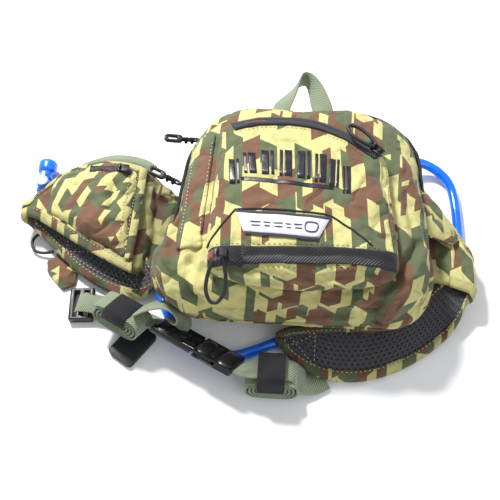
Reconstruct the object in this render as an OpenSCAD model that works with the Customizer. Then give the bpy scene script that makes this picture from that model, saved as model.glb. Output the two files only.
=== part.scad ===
// Lumbar hydration pack: a zipped pouch with a padded hip belt, lying on its back with the belt
// fastened and folded round in front of it. Millimetres. +Z points out of the pouch's front, +X to
// its right and +Y to its grab handle. The origin is on the ground, under the middle of the pack.

/* [Pouch] */
// Half of the pouch's width at its widest, near the bottom
half_w = 118; // [114:1:122]
// Reach of the pouch from its middle to its bottom edge
reach_bottom = 113; // [110:1:116]
// Reach of the pouch from its middle to its top edge
reach_top = 112; // [109:1:114]
// Thickness of padded fabric walls
wall = 2.4; // [1.6:0.2:3]
// Thickness of a zip's tape and teeth
zip_t = 1.4; // [1:0.2:1.6]

/* [Back] */
// Thickness of the mesh-covered back pads
pad_t = 10; // [8:1:10]
// Thickness of the back panel above the pads
board_t = 3; // [2:0.5:3]

/* [Belt] */
// Thickness of a belt wing: shell, foam and mesh together
wing_t = 8; // [7:0.5:8]
// Width of the waist webbing
webbing_w = 25; // [20:1:26]
// Thickness of the webbing
webbing_t = 1.6; // [1.2:0.2:1.8]
// Radius of a rolled-up strap end, across its short side
roll_r = 10; // [8:0.5:10.5]

/* [Drinking tube] */
// Outer diameter of the drinking tube
tube_d = 9.5; // [8:0.5:9.5]
// Inner diameter of the drinking tube
tube_bore = 6.4; // [5:0.2:6.6]
// Diameter of the screw cap on the reservoir
cap_d = 78; // [70:1:84]

/* [Hidden] */

$fn = 40;
// the pouch's middle, seen from the frame's origin
pouch_at = [53.5, 7.8, 0];
gap = 0.3;                       // clearance between bodies
skin = 0.2;                      // clearance between layers of one body

// heights of the pouch's layers above the ground
z_board = pad_t + skin;
z_gusset = z_board + board_t + skin;
z_zip = 36;
z_shell = 44;
z_face = 80;
z_pocket = z_face + gap;
z_front = 103;
z_trim = z_front + skin;

// colours
camo = [0.60, 0.60, 0.40];
black = [0.13, 0.13, 0.14];
dark_mesh = [0.18, 0.17, 0.20];
sage = [0.60, 0.67, 0.53];
blue = [0.10, 0.35, 0.95];

// ---- points and outlines ------------------------------------------------------------------
function arc(cx, cy, r, a0, a1, n) =
    [for (i = [0:n]) let (a = a0 + (a1 - a0) * i / n) [cx + r * cos(a), cy + r * sin(a)]];

// the angle at which a line touches both circles of a side: c is [x, y, r]
function touch(c, d) =
    let (v = [d[0] - c[0], d[1] - c[1]]) atan2(v[1], v[0]) - acos((c[2] - d[2]) / norm(v));

// a symmetric outline from a bottom-corner and a top-corner circle, pulled in by inset
function dome(low, high, inset) =
    let (t = touch(low, high))
    concat(arc(low[0], low[1], low[2] - inset, -90, t, 8),
           arc(high[0], high[1], high[2] - inset, t, 90, 8),
           arc(-high[0], high[1], high[2] - inset, 90, 180 - t, 8),
           arc(-low[0], low[1], low[2] - inset, 180 - t, 270, 8));

low_r = 45;
high_r = 68;
low_corner = [half_w - low_r, low_r - reach_bottom, low_r];
high_corner = [42, reach_top - high_r, high_r];
side_touch = touch(low_corner, high_corner);
function pouch_outline(inset) = dome(low_corner, high_corner, inset);

back_low = [68, -40, 36];
back_high = [40, 42, 58];
function back_outline(inset) = dome(back_low, back_high, inset);

// the front pocket's outline, whose top edge is one long arc that the zip follows
zip_centre = [-20, -52];
zip_r = 126;
zip_a = 44;
zip_b = 116;
end_r = 14;
left_end_r = 10;
pocket_low = [52, -80, 30];
function along(a, r) = [zip_centre[0] + r * cos(a), zip_centre[1] + r * sin(a)];
function pocket_outline(inset) =
    let (p = along(zip_a, zip_r - end_r), q = along(zip_b, zip_r - left_end_r))
    concat(arc(pocket_low[0], pocket_low[1], pocket_low[2] - inset, -90, 0, 7),
           arc(p[0], p[1], end_r - inset, 0, zip_a, 4),
           arc(zip_centre[0], zip_centre[1], zip_r - inset, zip_a, zip_b, 14),
           arc(q[0], q[1], left_end_r - inset, zip_b, 180, 4),
           arc(-pocket_low[0], pocket_low[1], pocket_low[2] - inset, 180, 270, 7));

function at_z(outline, z) = [for (p = outline) [p[0], p[1], z]];

// ---- solids from rings --------------------------------------------------------------------
// the two triangles between two rings that start at points a and b; both faces of a strip are
// split along the same diagonal
function facet(a, b, j, n) =
    let (k = (j + 1) % n)
    j * 2 < n ? [[a + j, b + j, b + k], [a + j, b + k, a + k]]
              : [[a + j, b + j, a + k], [b + j, b + k, a + k]];

// a solid skinned over rings of equal length, closed at both ends
module loft(rings) {
    n = len(rings[0]);
    m = len(rings);
    points = [for (r = rings) each r];
    sides = [for (i = [0:m - 2]) for (j = [0:n - 1]) each facet(i * n, (i + 1) * n, j, n)];
    first = [for (j = [0:n - 1]) j];
    last = [for (j = [n - 1:-1:0]) (m - 1) * n + j];
    polyhedron(points, concat([first], sides, [last]), convexity = 6);
}

// a solid skinned over rings whose last ring joins the first
module ring_loft(rings) {
    n = len(rings[0]);
    m = len(rings);
    points = [for (r = rings) each r];
    sides = [for (i = [0:m - 1]) for (j = [0:n - 1]) each facet(i * n, ((i + 1) % m) * n, j, n)];
    polyhedron(points, sides, convexity = 6);
}

// stations in the order that turns a strip's faces outward
function ordered(st) =
    cross(st[0][1], st[0][2]) * (st[1][0] - st[0][0]) < 0
    ? st : [for (i = [len(st) - 1:-1:0]) st[i]];

// a flat strip through stations [point, half-width vector, normal], between two heights
module strip(stations, t0, t1) {
    loft([for (s = ordered(stations))
        [s[0] - s[1] + s[2] * t1, s[0] + s[1] + s[2] * t1,
         s[0] + s[1] + s[2] * t0, s[0] - s[1] + s[2] * t0]]);
}

function unit(v) = v / norm(v);
function tangent(p, i) = unit(p[min(i + 1, len(p) - 1)] - p[max(i - 1, 0)]);

// a round tube swept through points
module sweep(points, r, sides) {
    loft([for (i = [0:len(points) - 1])
        let (t = tangent(points, i), s = unit(cross(t, [0, 0, 1])), u = cross(s, t))
        [for (k = [0:sides - 1]) points[i] + r * (s * cos(360 * k / sides) - u * sin(360 * k / sides))]]);
}

// webbing through [x, y, z, lean]: lean 0 lies flat and 90 stands on its edge
function webbing(rows, w) =
    let (p = [for (r = rows) [r[0], r[1], r[2]]])
    [for (i = [0:len(rows) - 1])
        let (t = tangent(p, i), s = unit(cross(t, [0, 0, 1])), u = cross(s, t), a = rows[i][3])
        [p[i], (s * cos(a) + u * sin(a)) * w / 2, -s * sin(a) + u * cos(a)]];

// an oval with round ends
function oval(half, r) =
    concat(arc(half, 0, r, -90, 90, 12), arc(-half, 0, r, 90, 270, 12));

module plate(outline, z0, z1) {
    translate([0, 0, z0]) linear_extrude(z1 - z0) polygon(outline);
}

module in_pouch() { translate(pouch_at) children(); }

// ---- back ---------------------------------------------------------------------------------
channel = 16;                    // air channel between the pads
pad_reach = 66;

module back_pads() {
    color(dark_mesh) in_pouch()
        intersection() {
            plate(back_outline(6), 0, pad_t);
            union() {
                translate([channel / 2, -80, -1]) cube([120, 180, pad_t + 2]);
                translate([-channel / 2 - 120, -80, -1]) cube([120, 180, pad_t + 2]);
            }
        }
}

module back_panel() {
    color(dark_mesh) in_pouch() plate(back_outline(0), z_board, z_board + board_t);
}

// ---- main compartment ---------------------------------------------------------------------
// the port's place and direction on the right shoulder of the rear gusset
port_a = 35;
port_pitch = 24;
port_z = 26;
port_at = [41 + 63.6 * cos(port_a), 43 + 63.6 * sin(port_a), port_z];
port_r = 8;

module at_port() { translate(port_at) rotate([0, 90 + port_pitch, port_a]) children(); }

module rear_gusset() {
    top = z_zip - skin;
    color(camo) in_pouch()
        difference() {
            ring_loft([at_z(back_outline(wall), z_gusset), at_z(back_outline(0), z_gusset),
                       at_z(pouch_outline(0), top), at_z(pouch_outline(wall), top)]);
            at_port() cylinder(h = 30, r = port_r - 2, center = true);
        }
}

module zip_band(inset, w) {
    difference() {
        plate(pouch_outline(inset), z_zip, z_shell - skin);
        plate(pouch_outline(inset + w), z_zip - 1, z_shell + 1);
    }
}

zip_end = -30;                   // the main zip stops here on both sides

module bottom_gusset() {
    color(camo) in_pouch()
        intersection() {
            zip_band(0, wall);
            translate([-200, -200, 0]) cube([400, 200 + zip_end - skin, 100]);
        }
}

module main_zip() {
    color(black) in_pouch()
        intersection() {
            zip_band(0.4, zip_t);
            translate([-200, zip_end, 0]) cube([400, 200, 100]);
        }
}

module main_shell() {
    color(camo) in_pouch()
        loft([at_z(pouch_outline(26), z_face - wall),
              at_z(pouch_outline(15), z_face - wall - 2), at_z(pouch_outline(7), 69),
              at_z(pouch_outline(3.6), 59), at_z(pouch_outline(wall), z_shell),
              at_z(pouch_outline(0), z_shell), at_z(pouch_outline(1), 60),
              at_z(pouch_outline(4.4), 71), at_z(pouch_outline(12), 77.6),
              at_z(pouch_outline(26), z_face)]);
}

// ---- front pocket -------------------------------------------------------------------------
module front_pocket() {
    color(camo) in_pouch()
        loft([at_z(pocket_outline(7.4), z_front - wall), at_z(pocket_outline(5), 97),
              at_z(pocket_outline(2.8), 90), at_z(pocket_outline(wall), z_pocket),
              at_z(pocket_outline(0), z_pocket), at_z(pocket_outline(0.4), 92),
              at_z(pocket_outline(2.4), 99.6), at_z(pocket_outline(5), z_front)]);
}

module pocket_divider() {
    color(black) in_pouch() plate(pocket_outline(4.4), z_pocket + 4, z_pocket + 5);
}

// the compression band that runs down the pocket's left side
module side_band() {
    color(camo) in_pouch()
        strip([for (y = [48, 15, -20, -56])
                  [[-93.5 - 0.015 * (48 - y), y, 79.4], [9, 0, 2.2], [-0.24, 0, 0.97]]], 1, 2.6);
}

module name_patch() {
    color([0.86, 0.85, 0.92]) in_pouch()
        plate([[-57, -44], [-49, -63], [14, -66], [23, -48]], z_trim, z_trim + 1);
}

// ---- zips of the front pocket -------------------------------------------------------------
tape_w = 9;                      // width of the curved zip
tape_r = zip_r - 10;             // middle of the curved zip
first_a = 43;
last_a = 114;

module top_zip() {
    color(black) in_pouch() translate([zip_centre[0], zip_centre[1], z_trim])
        rotate([0, 0, first_a]) rotate_extrude(angle = last_a - first_a, $fn = 96)
            translate([tape_r - tape_w / 2, 0]) square([tape_w, zip_t]);
}

lower_y = -83;
lower_w = 14;
lower_half = 75;

module lower_zip() {
    color(black) in_pouch()
        translate([-lower_half, lower_y - lower_w / 2, z_trim]) cube([lower_half * 2, lower_w, zip_t]);
}

// a slider's body with the bail that holds its pull; the zip runs along X
slider_l = 11;
slider_h = 3.4;
bail_r = 1.1;

module slider() {
    color(black) {
        translate([-slider_l / 2, -4, gap]) cube([slider_l, 8, slider_h - 1]);
        translate([-slider_l / 2 + 2, -2.6, slider_h - 1 + gap]) cube([1.6, 5.2, 3.2]);
    }
}

// a cord pull: a loop with round ends, lying in the plane of X and Y from its own pivot
module loop_pull(length, w, d) {
    half = (length - w) / 2;
    color(black) translate([half + w / 2, 0, 0])
        difference() {
            translate([0, 0, -d / 2]) linear_extrude(d) polygon(oval(half, w / 2));
            translate([0, 0, -d]) linear_extrude(d * 2) polygon(oval(half, w / 2 - d));
        }
}

top_slider_a = 45;
pull_lift = 6;
module on_top_zip() {
    translate([zip_centre[0], zip_centre[1], z_trim + zip_t])
        rotate([0, 0, top_slider_a]) translate([tape_r, 0, 0]) rotate([0, 0, 90]) children();
}
module top_slider() { in_pouch() on_top_zip() slider(); }
module top_pull() {
    in_pouch() on_top_zip() translate([3, 0, slider_h + 1]) rotate([0, -4, 6]) loop_pull(30, 11, 2.4);
}

lower_slider_x = -66;
module on_lower_zip() { translate([lower_slider_x, lower_y, z_trim + zip_t]) children(); }
module lower_slider() { in_pouch() on_lower_zip() slider(); }
module lower_pull() {
    in_pouch() on_lower_zip() translate([-1, -6, slider_h + 1]) rotate([0, 0, -90]) loop_pull(34, 17, 2.4);
}

// ---- sliders of the main zip: they stand on the pouch's side --------------------------------
main_a = 148;                    // angle of the upper slider on the shoulder's arc
side_y = 30;                     // place of the lower slider on the straight side
zip_mid = (z_zip + z_shell - skin) / 2;

module side_slider() {
    color(black) {
        translate([gap, -slider_l / 2, -3.6]) cube([slider_h - 1, slider_l, 7.2]);
        translate([slider_h - 1 + gap, -0.8, -2.6]) cube([3.2, 1.6, 5.2]);
    }
}

// a moulded pull: a knotted cord that ends in a slotted grip
module moulded_pull() {
    color(black) {
        translate([3, -1.3, -1.3]) cube([10, 2.6, 2.6]);
        translate([13 + skin, 0, -2]) linear_extrude(4)
            difference() {
                translate([9.5, 0]) polygon(oval(5, 4.4));
                translate([10.5, 0]) polygon(oval(3, 1.8));
            }
    }
}

module on_shoulder() {
    translate([-high_corner[0], high_corner[1], zip_mid]) rotate([0, 0, main_a])
        translate([high_r, 0, 0]) children();
}
side_dir = 90 - side_touch;      // lean of the straight left side from the X axis
side_foot = [-high_corner[0] - high_r * cos(side_touch), high_corner[1] + high_r * sin(side_touch)];
function on_side_at(y) = [side_foot[0] - (side_foot[1] - y) * tan(side_touch), y];
module on_side() {
    p = on_side_at(side_y);
    translate([p[0], p[1], zip_mid]) rotate([0, 0, 180 - side_touch]) children();
}
module main_slider_top() { in_pouch() on_shoulder() side_slider(); }
module main_pull_top() {
    in_pouch() on_shoulder() translate([slider_h + 2.6, 0, 1]) rotate([0, -14, 12]) moulded_pull();
}
module main_slider_side() { in_pouch() on_side() side_slider(); }
module main_pull_side() {
    in_pouch() on_side() translate([slider_h + 2.6, 0, 1]) rotate([0, -8, -18]) moulded_pull();
}

// ---- reservoir ----------------------------------------------------------------------------
bag = [62, -22, 28];             // corner circle of the reservoir's outline
bag_top = [62, 22, 24];
function bag_outline(inset) = dome(bag, bag_top, inset);
bag_z = 17;
bag_h = 26;

module reservoir() {
    color([0.45, 0.65, 0.95]) in_pouch()
        loft([at_z(bag_outline(14), bag_z), at_z(bag_outline(3), bag_z + 5),
              at_z(bag_outline(0), bag_z + bag_h / 2), at_z(bag_outline(3), bag_z + bag_h - 5),
              at_z(bag_outline(14), bag_z + bag_h)]);
}

module reservoir_cap() {
    color(blue) in_pouch() translate([-20, 0, bag_z + bag_h + gap]) {
        cylinder(h = 9, d = cap_d);
        translate([-cap_d / 2 + 8, -3, 9]) cube([cap_d - 16, 6, 5]);
    }
}

module reservoir_sleeve() {
    color(black) in_pouch() plate(back_outline(8), z_gusset + 0.6, z_gusset + 1.6);
}

link_at = [62, 18, bag_z + bag_h + skin];
module quick_link() {
    color(blue) in_pouch() translate(link_at) {
        cylinder(h = 3, d = 22);
        translate([0, 0, 3]) cylinder(h = 7, d = 13);
        translate([0, 0, 6]) rotate([0, 90, 62]) cylinder(h = 17, d = tube_d);
    }
}

// the short tube inside the pouch, from the quick link to the port
link_out = link_at + [19 * cos(62), 19 * sin(62), 6];
inner_route = [link_out, link_out + [3, 7, -3], link_out + [2, 14, -12], [66, 62, 28],
               [83, 72, 30]];
module inner_tube() {
    color(blue) in_pouch() sweep(inner_route, tube_d / 2 - 0.6, 10);
}

module tube_port() {
    color(black) in_pouch() at_port()
        difference() {
            translate([0, 0, 1.2]) cylinder(h = 4, r = port_r);
            cylinder(h = 30, d = tube_d + 0.4, center = true);
        }
}

// ---- handle -------------------------------------------------------------------------------
handle_w = 20;
handle_rows = [[-24, 116.4, 57, 20], [-20, 124, 57, 30], [-14, 135, 58, 50], [-8, 147, 59, 75],
               [-2, 152, 60, 90], [4, 148, 60, 105], [9, 138, 59, 130], [13, 127, 58, 150],
               [16, 116.4, 57, 160]];
module grab_handle() {
    color(sage) in_pouch() strip(webbing(handle_rows, handle_w), -webbing_t / 2, webbing_t / 2);
}

// ---- belt wings ---------------------------------------------------------------------------
// a wing is a band in layers; each row is [x, z low edge, z high edge, y low, y high, nx, nz]
function wing(rows) =
    [for (r = rows)
        [[r[0], (r[3] + r[4]) / 2, (r[1] + r[2]) / 2], [0, (r[4] - r[3]) / 2, (r[2] - r[1]) / 2],
         [r[5], 0, r[6]]]];

left_rows = [
    [-150.3, 28, 28, -62, 55, 0, 1], [-162, 29, 29, -57, 58, 0, 1], [-180, 29, 29, -48, 61, 0, 1],
    [-205, 29, 29, -34, 57, 0, 1], [-230, 29, 29, -19, 44, 0, 1], [-248, 29, 29, -9, 22, 0, 1],
    [-256, 29, 29, -8, 11, 0, 1], [-259.9, 27.4, 27.4, -8, 9, -0.7, 0.7],
    [-261.5, 23.5, 23.5, -8, 8, -1, 0], [-259.9, 19.6, 19.6, -9, 8, -0.7, -0.7],
    [-256, 18, 18, -10, 8, 0, -1], [-242, 13, 20, -20, 14, 0, -1], [-222, 11, 20, -38, 14, 0, -1],
    [-200, 9, 20, -56, 10, 0, -1], [-178, 6.5, 20, -68, -4, 0, -1], [-155, 6, 19, -76, -22, 0, -1],
    [-137, 8, 17.5, -74, -44, 0, -1]];

right_rows = [
    [134.3, 28, 28, -58, 16, 0, 1], [142, 29, 29, -61, 4, 0, 1], [150, 29, 29, -64, -12, 0, 1],
    [153.2, 27.6, 27.6, -66, -18, 0.7, 0.7], [154.5, 24.3, 24.3, -68, -22, 1, 0],
    [153.2, 21, 21, -70, -24, 0.7, -0.7], [150, 19.6, 19.6, -72, -26, 0, -1],
    [140, 12, 18.6, -92, -36, 0, -1], [124, 6, 17, -108, -52, 0, -1], [100, 4, 15, -126, -78, 0, -1],
    [74, 4, 14, -139, -92, 0, -1], [48, 5, 15, -145, -95, 0, -1], [22, 8, 17, -144, -98, 0, -1],
    [2, 9, 17, -134, -101, 0, -1], [-15, 14, 16, -118, -107, 0, -1]];

outer_t = wing_t / 2;
cloth_t = 1.2;
module wing_shell(rows) { color(camo) in_pouch() strip(wing(rows), outer_t - cloth_t, outer_t); }
module wing_foam(rows) {
    color("dimgray") in_pouch() strip(wing(rows), skin - outer_t + cloth_t, outer_t - cloth_t - skin);
}
module wing_mesh(rows) { color(dark_mesh) in_pouch() strip(wing(rows), -outer_t, cloth_t - outer_t); }

// the camouflage tape bound round the wing's lower edge
binding_w = 1.6;
binding_gap = 1.2;
module wing_binding(rows) {
    off = [0, -binding_w / 2 - binding_gap, 0];
    edge = [for (s = wing(rows)) [s[0] - s[1] + off, [0, binding_w / 2, 0], s[2]]];
    color(camo) in_pouch() strip(edge, -outer_t, outer_t);
}

module left_wing_shell() { wing_shell(left_rows); }
module left_wing_foam() { wing_foam(left_rows); }
module left_wing_mesh() { wing_mesh(left_rows); }
module left_wing_binding() { wing_binding(left_rows); }
module right_wing_shell() { wing_shell(right_rows); }
module right_wing_foam() { wing_foam(right_rows); }
module right_wing_mesh() { wing_mesh(right_rows); }
module right_wing_binding() { wing_binding(right_rows); }

// the soft roots between the gusset and the wings, which twist as the belt swings
left_root_rows = [[-150, 28, 28, -62, 55, 0, 1], [-136, 26, 26, -61, 45, 0, 1],
                  [-123, 24, 24, -57, 34, 0, 1], [-112.8, 22, 22, -46, 22, 0, 1]];
right_root_rows = [[134, 28, 28, -58, 16, 0, 1], [123, 25, 25, -54, 20, 0, 1],
                   [112.8, 22, 22, -44, 20, 0, 1]];
module left_root() { color(camo) in_pouch() strip(wing(left_root_rows), -3, 3); }
module right_root() { color(camo) in_pouch() strip(wing(right_root_rows), -3, 3); }

module right_flap() {
    color(camo) in_pouch()
        strip([[[120, -1, 48], [0, 21, 0], [0.4, 0, 0.92]], [[130, -7, 44], [0, 16, 0], [0.4, 0, 0.92]],
               [[138, -12, 40], [0, 9, 0], [0.4, 0, 0.92]], [[144, -13, 37], [0, 3, 0], [0.4, 0, 0.92]]],
              -0.8, 0.8);
}

// ---- zipped pocket on the left wing -------------------------------------------------------
pocket_rows = [[-154, 29, 29, -50, 50, 0, 1], [-168, 29, 29, -45, 55, 0, 1],
               [-190, 29, 29, -34, 55, 0, 1], [-215, 29, 29, -20, 46, 0, 1],
               [-237, 29, 29, -8, 32, 0, 1]];
pocket_low_t = outer_t + skin;
pocket_high_t = 15;
module wing_pocket() {
    rows = wing(pocket_rows);
    color(camo) in_pouch()
        loft([for (i = [0:len(rows) - 1])
            let (s = rows[i], h = i == 0 || i == len(rows) - 1 ? pocket_low_t + 3 : pocket_high_t,
                 base = s[0] + s[2] * pocket_low_t, top = s[0] + s[2] * h)
            [top - s[1] * 0.86, top + s[1] * 0.86, base + s[1], base - s[1]]]);
}

wing_zip_dir = -4;
wing_zip_at = [-200, 42, 44.2];
module on_wing_zip() { translate(wing_zip_at) rotate([0, 0, wing_zip_dir]) children(); }
module wing_zip() { color(black) in_pouch() on_wing_zip() translate([0, -3, 0]) cube([36, 6, zip_t]); }
module wing_slider() { in_pouch() on_wing_zip() translate([30, 0, zip_t]) slider(); }

cord_d = 3;
cord_r = 12;
module cord_loop() {
    color(black) in_pouch() translate([-242, -21, 5]) {
        rotate([0, 0, 90]) rotate_extrude(angle = 180) translate([cord_r, 0]) circle(d = cord_d, $fn = 16);
        for (y = [-cord_r, cord_r])
            translate([0, y, 0]) rotate([0, 90, 0]) cylinder(h = 9, d = cord_d, $fn = 16);
    }
}

module left_underflap() {
    color(camo) in_pouch()
        plate([[-229, -24], [-229, -38], [-235, -40], [-234, -50], [-216, -70], [-205, -64],
               [-207, -42]], 0, 4.6);
}

// ---- webbing ------------------------------------------------------------------------------
// the fastened buckle's middle, its direction and its tilt
buckle_at = [-84.5, -128.5, 24.4];
buckle_yaw = -27.5;
buckle_tilt = -40;
module at_buckle() {
    in_pouch() translate(buckle_at) rotate([0, 0, buckle_yaw]) rotate([buckle_tilt, 0, 0]) children();
}

lock_at = [-195, -86, 5];
lock_yaw = 5;
module ladder_lock() {
    color(black) in_pouch() translate(lock_at) rotate([0, 0, lock_yaw])
        difference() {
            translate([-11, -16, -4]) cube([22, 32, 8]);
            for (x = [-6.5, 2.5])
                translate([x, -13.2, -5]) cube([4, 26.4, 10]);
        }
}

strand_rows = [[-180.2, -86.4, 4.2, 0], [-171, -88, 5.6, 0], [-158, -94, 7.2, 0], [-147, -100, 7.6, 0]];
module left_strands() {
    color(sage) in_pouch() {
        strip(webbing(strand_rows, webbing_w), -webbing_t / 2, webbing_t / 2);
        translate([0, 0, 2.4]) strip(webbing(strand_rows, webbing_w), -webbing_t / 2, webbing_t / 2);
    }
}

right_strap_rows = [[-46.9, -148.1, 24.4, 40], [-42, -149.5, 26.2, 35], [-35, -149.5, 28.4, 23],
                    [-28, -148.5, 28.6, 17], [-18, -148, 28.2, 15], [-8, -148, 27, 15],
                    [-2, -148, 24.5, 12], [3, -149.6, 15.5, 6], [9, -151.6, 3.6, 1],
                    [15, -152.2, 2.2, 0], [24, -152.2, 2.2, 0]];
module right_strap() {
    color(sage) in_pouch() strip(webbing(right_strap_rows, 20), -webbing_t / 2, webbing_t / 2);
}

// a strap end rolled up and held by a hook-and-loop keeper; the roll's axis is local Y
roll_half = 13.5;
short_half = 9.5;
module rolled(half) {
    color(sage) rotate([-90, 0, 0]) linear_extrude(webbing_w) polygon(oval(half, roll_r));
}
keeper_w = 24;
module keeper(top) {
    color(black) {
        translate([-keeper_w / 2, -1, top]) cube([keeper_w, webbing_w + 1, 1.5]);
        translate([-keeper_w / 2, -1 - 1.5, -4]) cube([keeper_w, 1.5, top + 5.5]);
    }
}

module at_right_roll() {
    in_pouch() translate([-20, -165, 16.6]) rotate([-15, 0, 0]) children();
}
module right_roll() { at_right_roll() rolled(short_half); }
module right_keeper() { at_right_roll() keeper(roll_r + 9); }

module at_left_roll() {
    in_pouch() translate([-158, -116, 32]) rotate([0, 0, -28]) rotate([-24, 0, 0]) children();
}
module left_roll() { at_left_roll() rolled(roll_half); }
module left_keeper() { at_left_roll() keeper(roll_r + skin); }

loop_rows = [[-131, -104, 38, 50], [-122, -101, 41, 50], [-112, -103, 42, 50], [-104, -109, 41, 55]];
module left_loop() {
    color(sage) in_pouch() strip(webbing(loop_rows, webbing_w), -webbing_t / 2, webbing_t / 2);
}

// ---- side-release buckle: length along X, width along Y, thickness along Z -----------------
buckle_t = 9;
slot_w = webbing_w + 1;
female_l = 38;
module female() {
    difference() {
        translate([2, -15.5, -buckle_t / 2]) cube([female_l, 31, buckle_t]);
        translate([1, -20, -2.7]) cube([23, 40, 5.4]);
        for (x = [27, 34])
            translate([x, -slot_w / 2, -10]) cube([4, slot_w, 20]);
    }
}
module male() {
    difference() {
        translate([-40, -14.5, -4]) cube([40, 29, 8]);
        for (x = [-36, -28.5])
            translate([x, -slot_w / 2, -10]) cube([4, slot_w, 20]);
        for (s = [-1, 1])
            translate([-11, s * 10.25 - 3.05, -10]) cube([12, 6.1, 20]);
    }
    translate([0, -2.5, -2]) cube([20, 5, 4]);
}
prong_x = -10;
prong_y = 10;
module prong(side) {
    color(black) at_buckle() translate([prong_x, side * prong_y, 0]) {
        translate([0, -1.6, -2]) cube([32, 3.2, 4]);
        translate([18, side > 0 ? 1.6 : -4.4, -2]) cube([13, 2.8, 4]);
    }
}
module buckle_female() { color(black) at_buckle() female(); }
module buckle_male() { color(black) at_buckle() male(); }
module prong_near() { prong(-1); }
module prong_far() { prong(1); }

// the magnetic keeper that traps the drinking tube
tab_yaw = 56;
module magnetic_tab() {
    color(black) in_pouch() translate([-144, -121, 0.4]) rotate([0, 0, tab_yaw])
        linear_extrude(5) polygon(concat(arc(15, 9, 4, 0, 90, 5), arc(-15, 9, 4, 90, 180, 5),
                                         arc(-15, -9, 4, 180, 270, 5), arc(15, -9, 4, 270, 360, 5)));
}

// ---- drinking tube ------------------------------------------------------------------------
tube_z = tube_d / 2 + 0.15;
tube_route = [port_at + [4, 2.8, -2.2], [105.8, 87, 19.6], [116, 88.6, 16.2], [126.2, 86.9, 13.3],
              [135.4, 82, 10.9], [142.7, 74.7, 8.9], [147, 66.6, 7.4], [149.3, 56.5, 6.2], [150.8, 43, 5.3],
              [151.5, 27, tube_z], [151.4, 10.5, tube_z],
              [151, -6, tube_z], [149, -23, tube_z], [143, -39, tube_z], [132, -54, tube_z],
              [116, -67, tube_z], [97, -78, tube_z], [76, -87, tube_z], [54, -92, tube_z],
              [32, -96, tube_z], [10, -101, tube_z], [-11, -109, tube_z], [-31, -119, tube_z],
              [-51, -127, tube_z], [-72, -128, tube_z], [-91, -121, tube_z], [-106, -107, tube_z],
              [-117, -88, tube_z], [-125, -70, tube_z], [-133, -55, tube_z], [-143, -43.5, tube_z],
              [-157, -33, tube_z], [-174, -24, tube_z], [-193, -14, tube_z], [-213, -6, tube_z],
              [-230.5, -0.1, 5.3], [-239.4, 5.5, 6.2], [-246.5, 13.4, 7.7], [-251.1, 22.9, 9.4],
              [-253, 33.2, 10]];
module drinking_tube() {
    color(blue) in_pouch() sweep(tube_route, tube_d / 2, 10);
}

valve_at = [-253, 33.5, 10];
valve_yaw = 92;
module at_valve() { in_pouch() translate(valve_at) rotate([0, 0, valve_yaw]) children(); }
module valve_elbow() {
    color(blue) at_valve() {
        rotate([0, 90, 0]) cylinder(h = 17, r = 7.5);
        translate([7, 0, 0]) cylinder(h = 8.6, r = 6.4);
    }
}
module bite_valve() {
    color([0.25, 0.5, 1]) at_valve() translate([17 + skin, 0, 0]) rotate([0, 90, 0]) {
        cylinder(h = 6, r = 6.5);
        translate([0, 0, 6]) cylinder(h = 12, r1 = 8.5, r2 = 9.6);
    }
}
module shutoff_lever() {
    color([0.7, 0.8, 0.9]) at_valve() translate([7, 0, 8.6 + gap]) {
        cylinder(h = 2.4, r = 5.6);
        translate([0, -1.6, 0]) cube([11, 3.2, 2.4]);
    }
}

back_pads();
back_panel();
rear_gusset();
bottom_gusset();
main_shell();
main_zip();
main_slider_top();
main_pull_top();
main_slider_side();
main_pull_side();
front_pocket();
pocket_divider();
side_band();
name_patch();
top_zip();
top_slider();
top_pull();
lower_zip();
lower_slider();
lower_pull();
reservoir();
reservoir_cap();
reservoir_sleeve();
quick_link();
inner_tube();
tube_port();
grab_handle();
left_root();
right_root();
right_flap();
left_wing_shell();
left_wing_foam();
left_wing_mesh();
left_wing_binding();
wing_pocket();
wing_zip();
wing_slider();
cord_loop();
left_underflap();
right_wing_shell();
right_wing_foam();
right_wing_mesh();
right_wing_binding();
ladder_lock();
left_strands();
right_strap();
right_roll();
right_keeper();
buckle_female();
buckle_male();
prong_near();
prong_far();
left_loop();
left_roll();
left_keeper();
magnetic_tab();
drinking_tube();
valve_elbow();
bite_valve();
shutoff_lever();
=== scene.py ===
"""Looks for the lumbar hydration pack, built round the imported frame.

Shapes are written in millimetres from the pouch's middle, with z up from the ground, and every
mesh is made in metres in the frame by place().
"""
from math import acos, atan2, cos, exp, hypot, pi, radians, sin

import bmesh
import bpy
import numpy as np
from mathutils import Matrix, Vector, noise
from mathutils.bvhtree import BVHTree


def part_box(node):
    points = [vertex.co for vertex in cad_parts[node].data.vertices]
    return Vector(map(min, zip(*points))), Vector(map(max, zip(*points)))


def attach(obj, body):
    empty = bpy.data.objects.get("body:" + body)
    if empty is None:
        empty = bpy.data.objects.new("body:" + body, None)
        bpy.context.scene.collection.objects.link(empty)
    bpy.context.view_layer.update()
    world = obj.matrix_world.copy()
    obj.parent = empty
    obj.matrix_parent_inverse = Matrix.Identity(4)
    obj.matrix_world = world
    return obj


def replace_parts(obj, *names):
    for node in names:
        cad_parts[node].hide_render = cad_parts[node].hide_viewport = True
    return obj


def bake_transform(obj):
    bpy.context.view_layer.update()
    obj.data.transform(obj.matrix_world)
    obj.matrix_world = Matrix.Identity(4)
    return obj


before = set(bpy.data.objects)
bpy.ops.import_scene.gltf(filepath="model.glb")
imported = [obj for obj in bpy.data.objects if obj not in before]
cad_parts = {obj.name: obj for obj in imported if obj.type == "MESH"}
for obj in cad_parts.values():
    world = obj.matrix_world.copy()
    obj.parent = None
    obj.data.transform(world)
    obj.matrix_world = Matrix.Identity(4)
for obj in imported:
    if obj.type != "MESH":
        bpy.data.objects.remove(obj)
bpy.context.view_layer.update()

MM = 0.001
board_low, board_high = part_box("back_panel")
MIDDLE_X = (board_low[0] + board_high[0]) / 2
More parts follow.
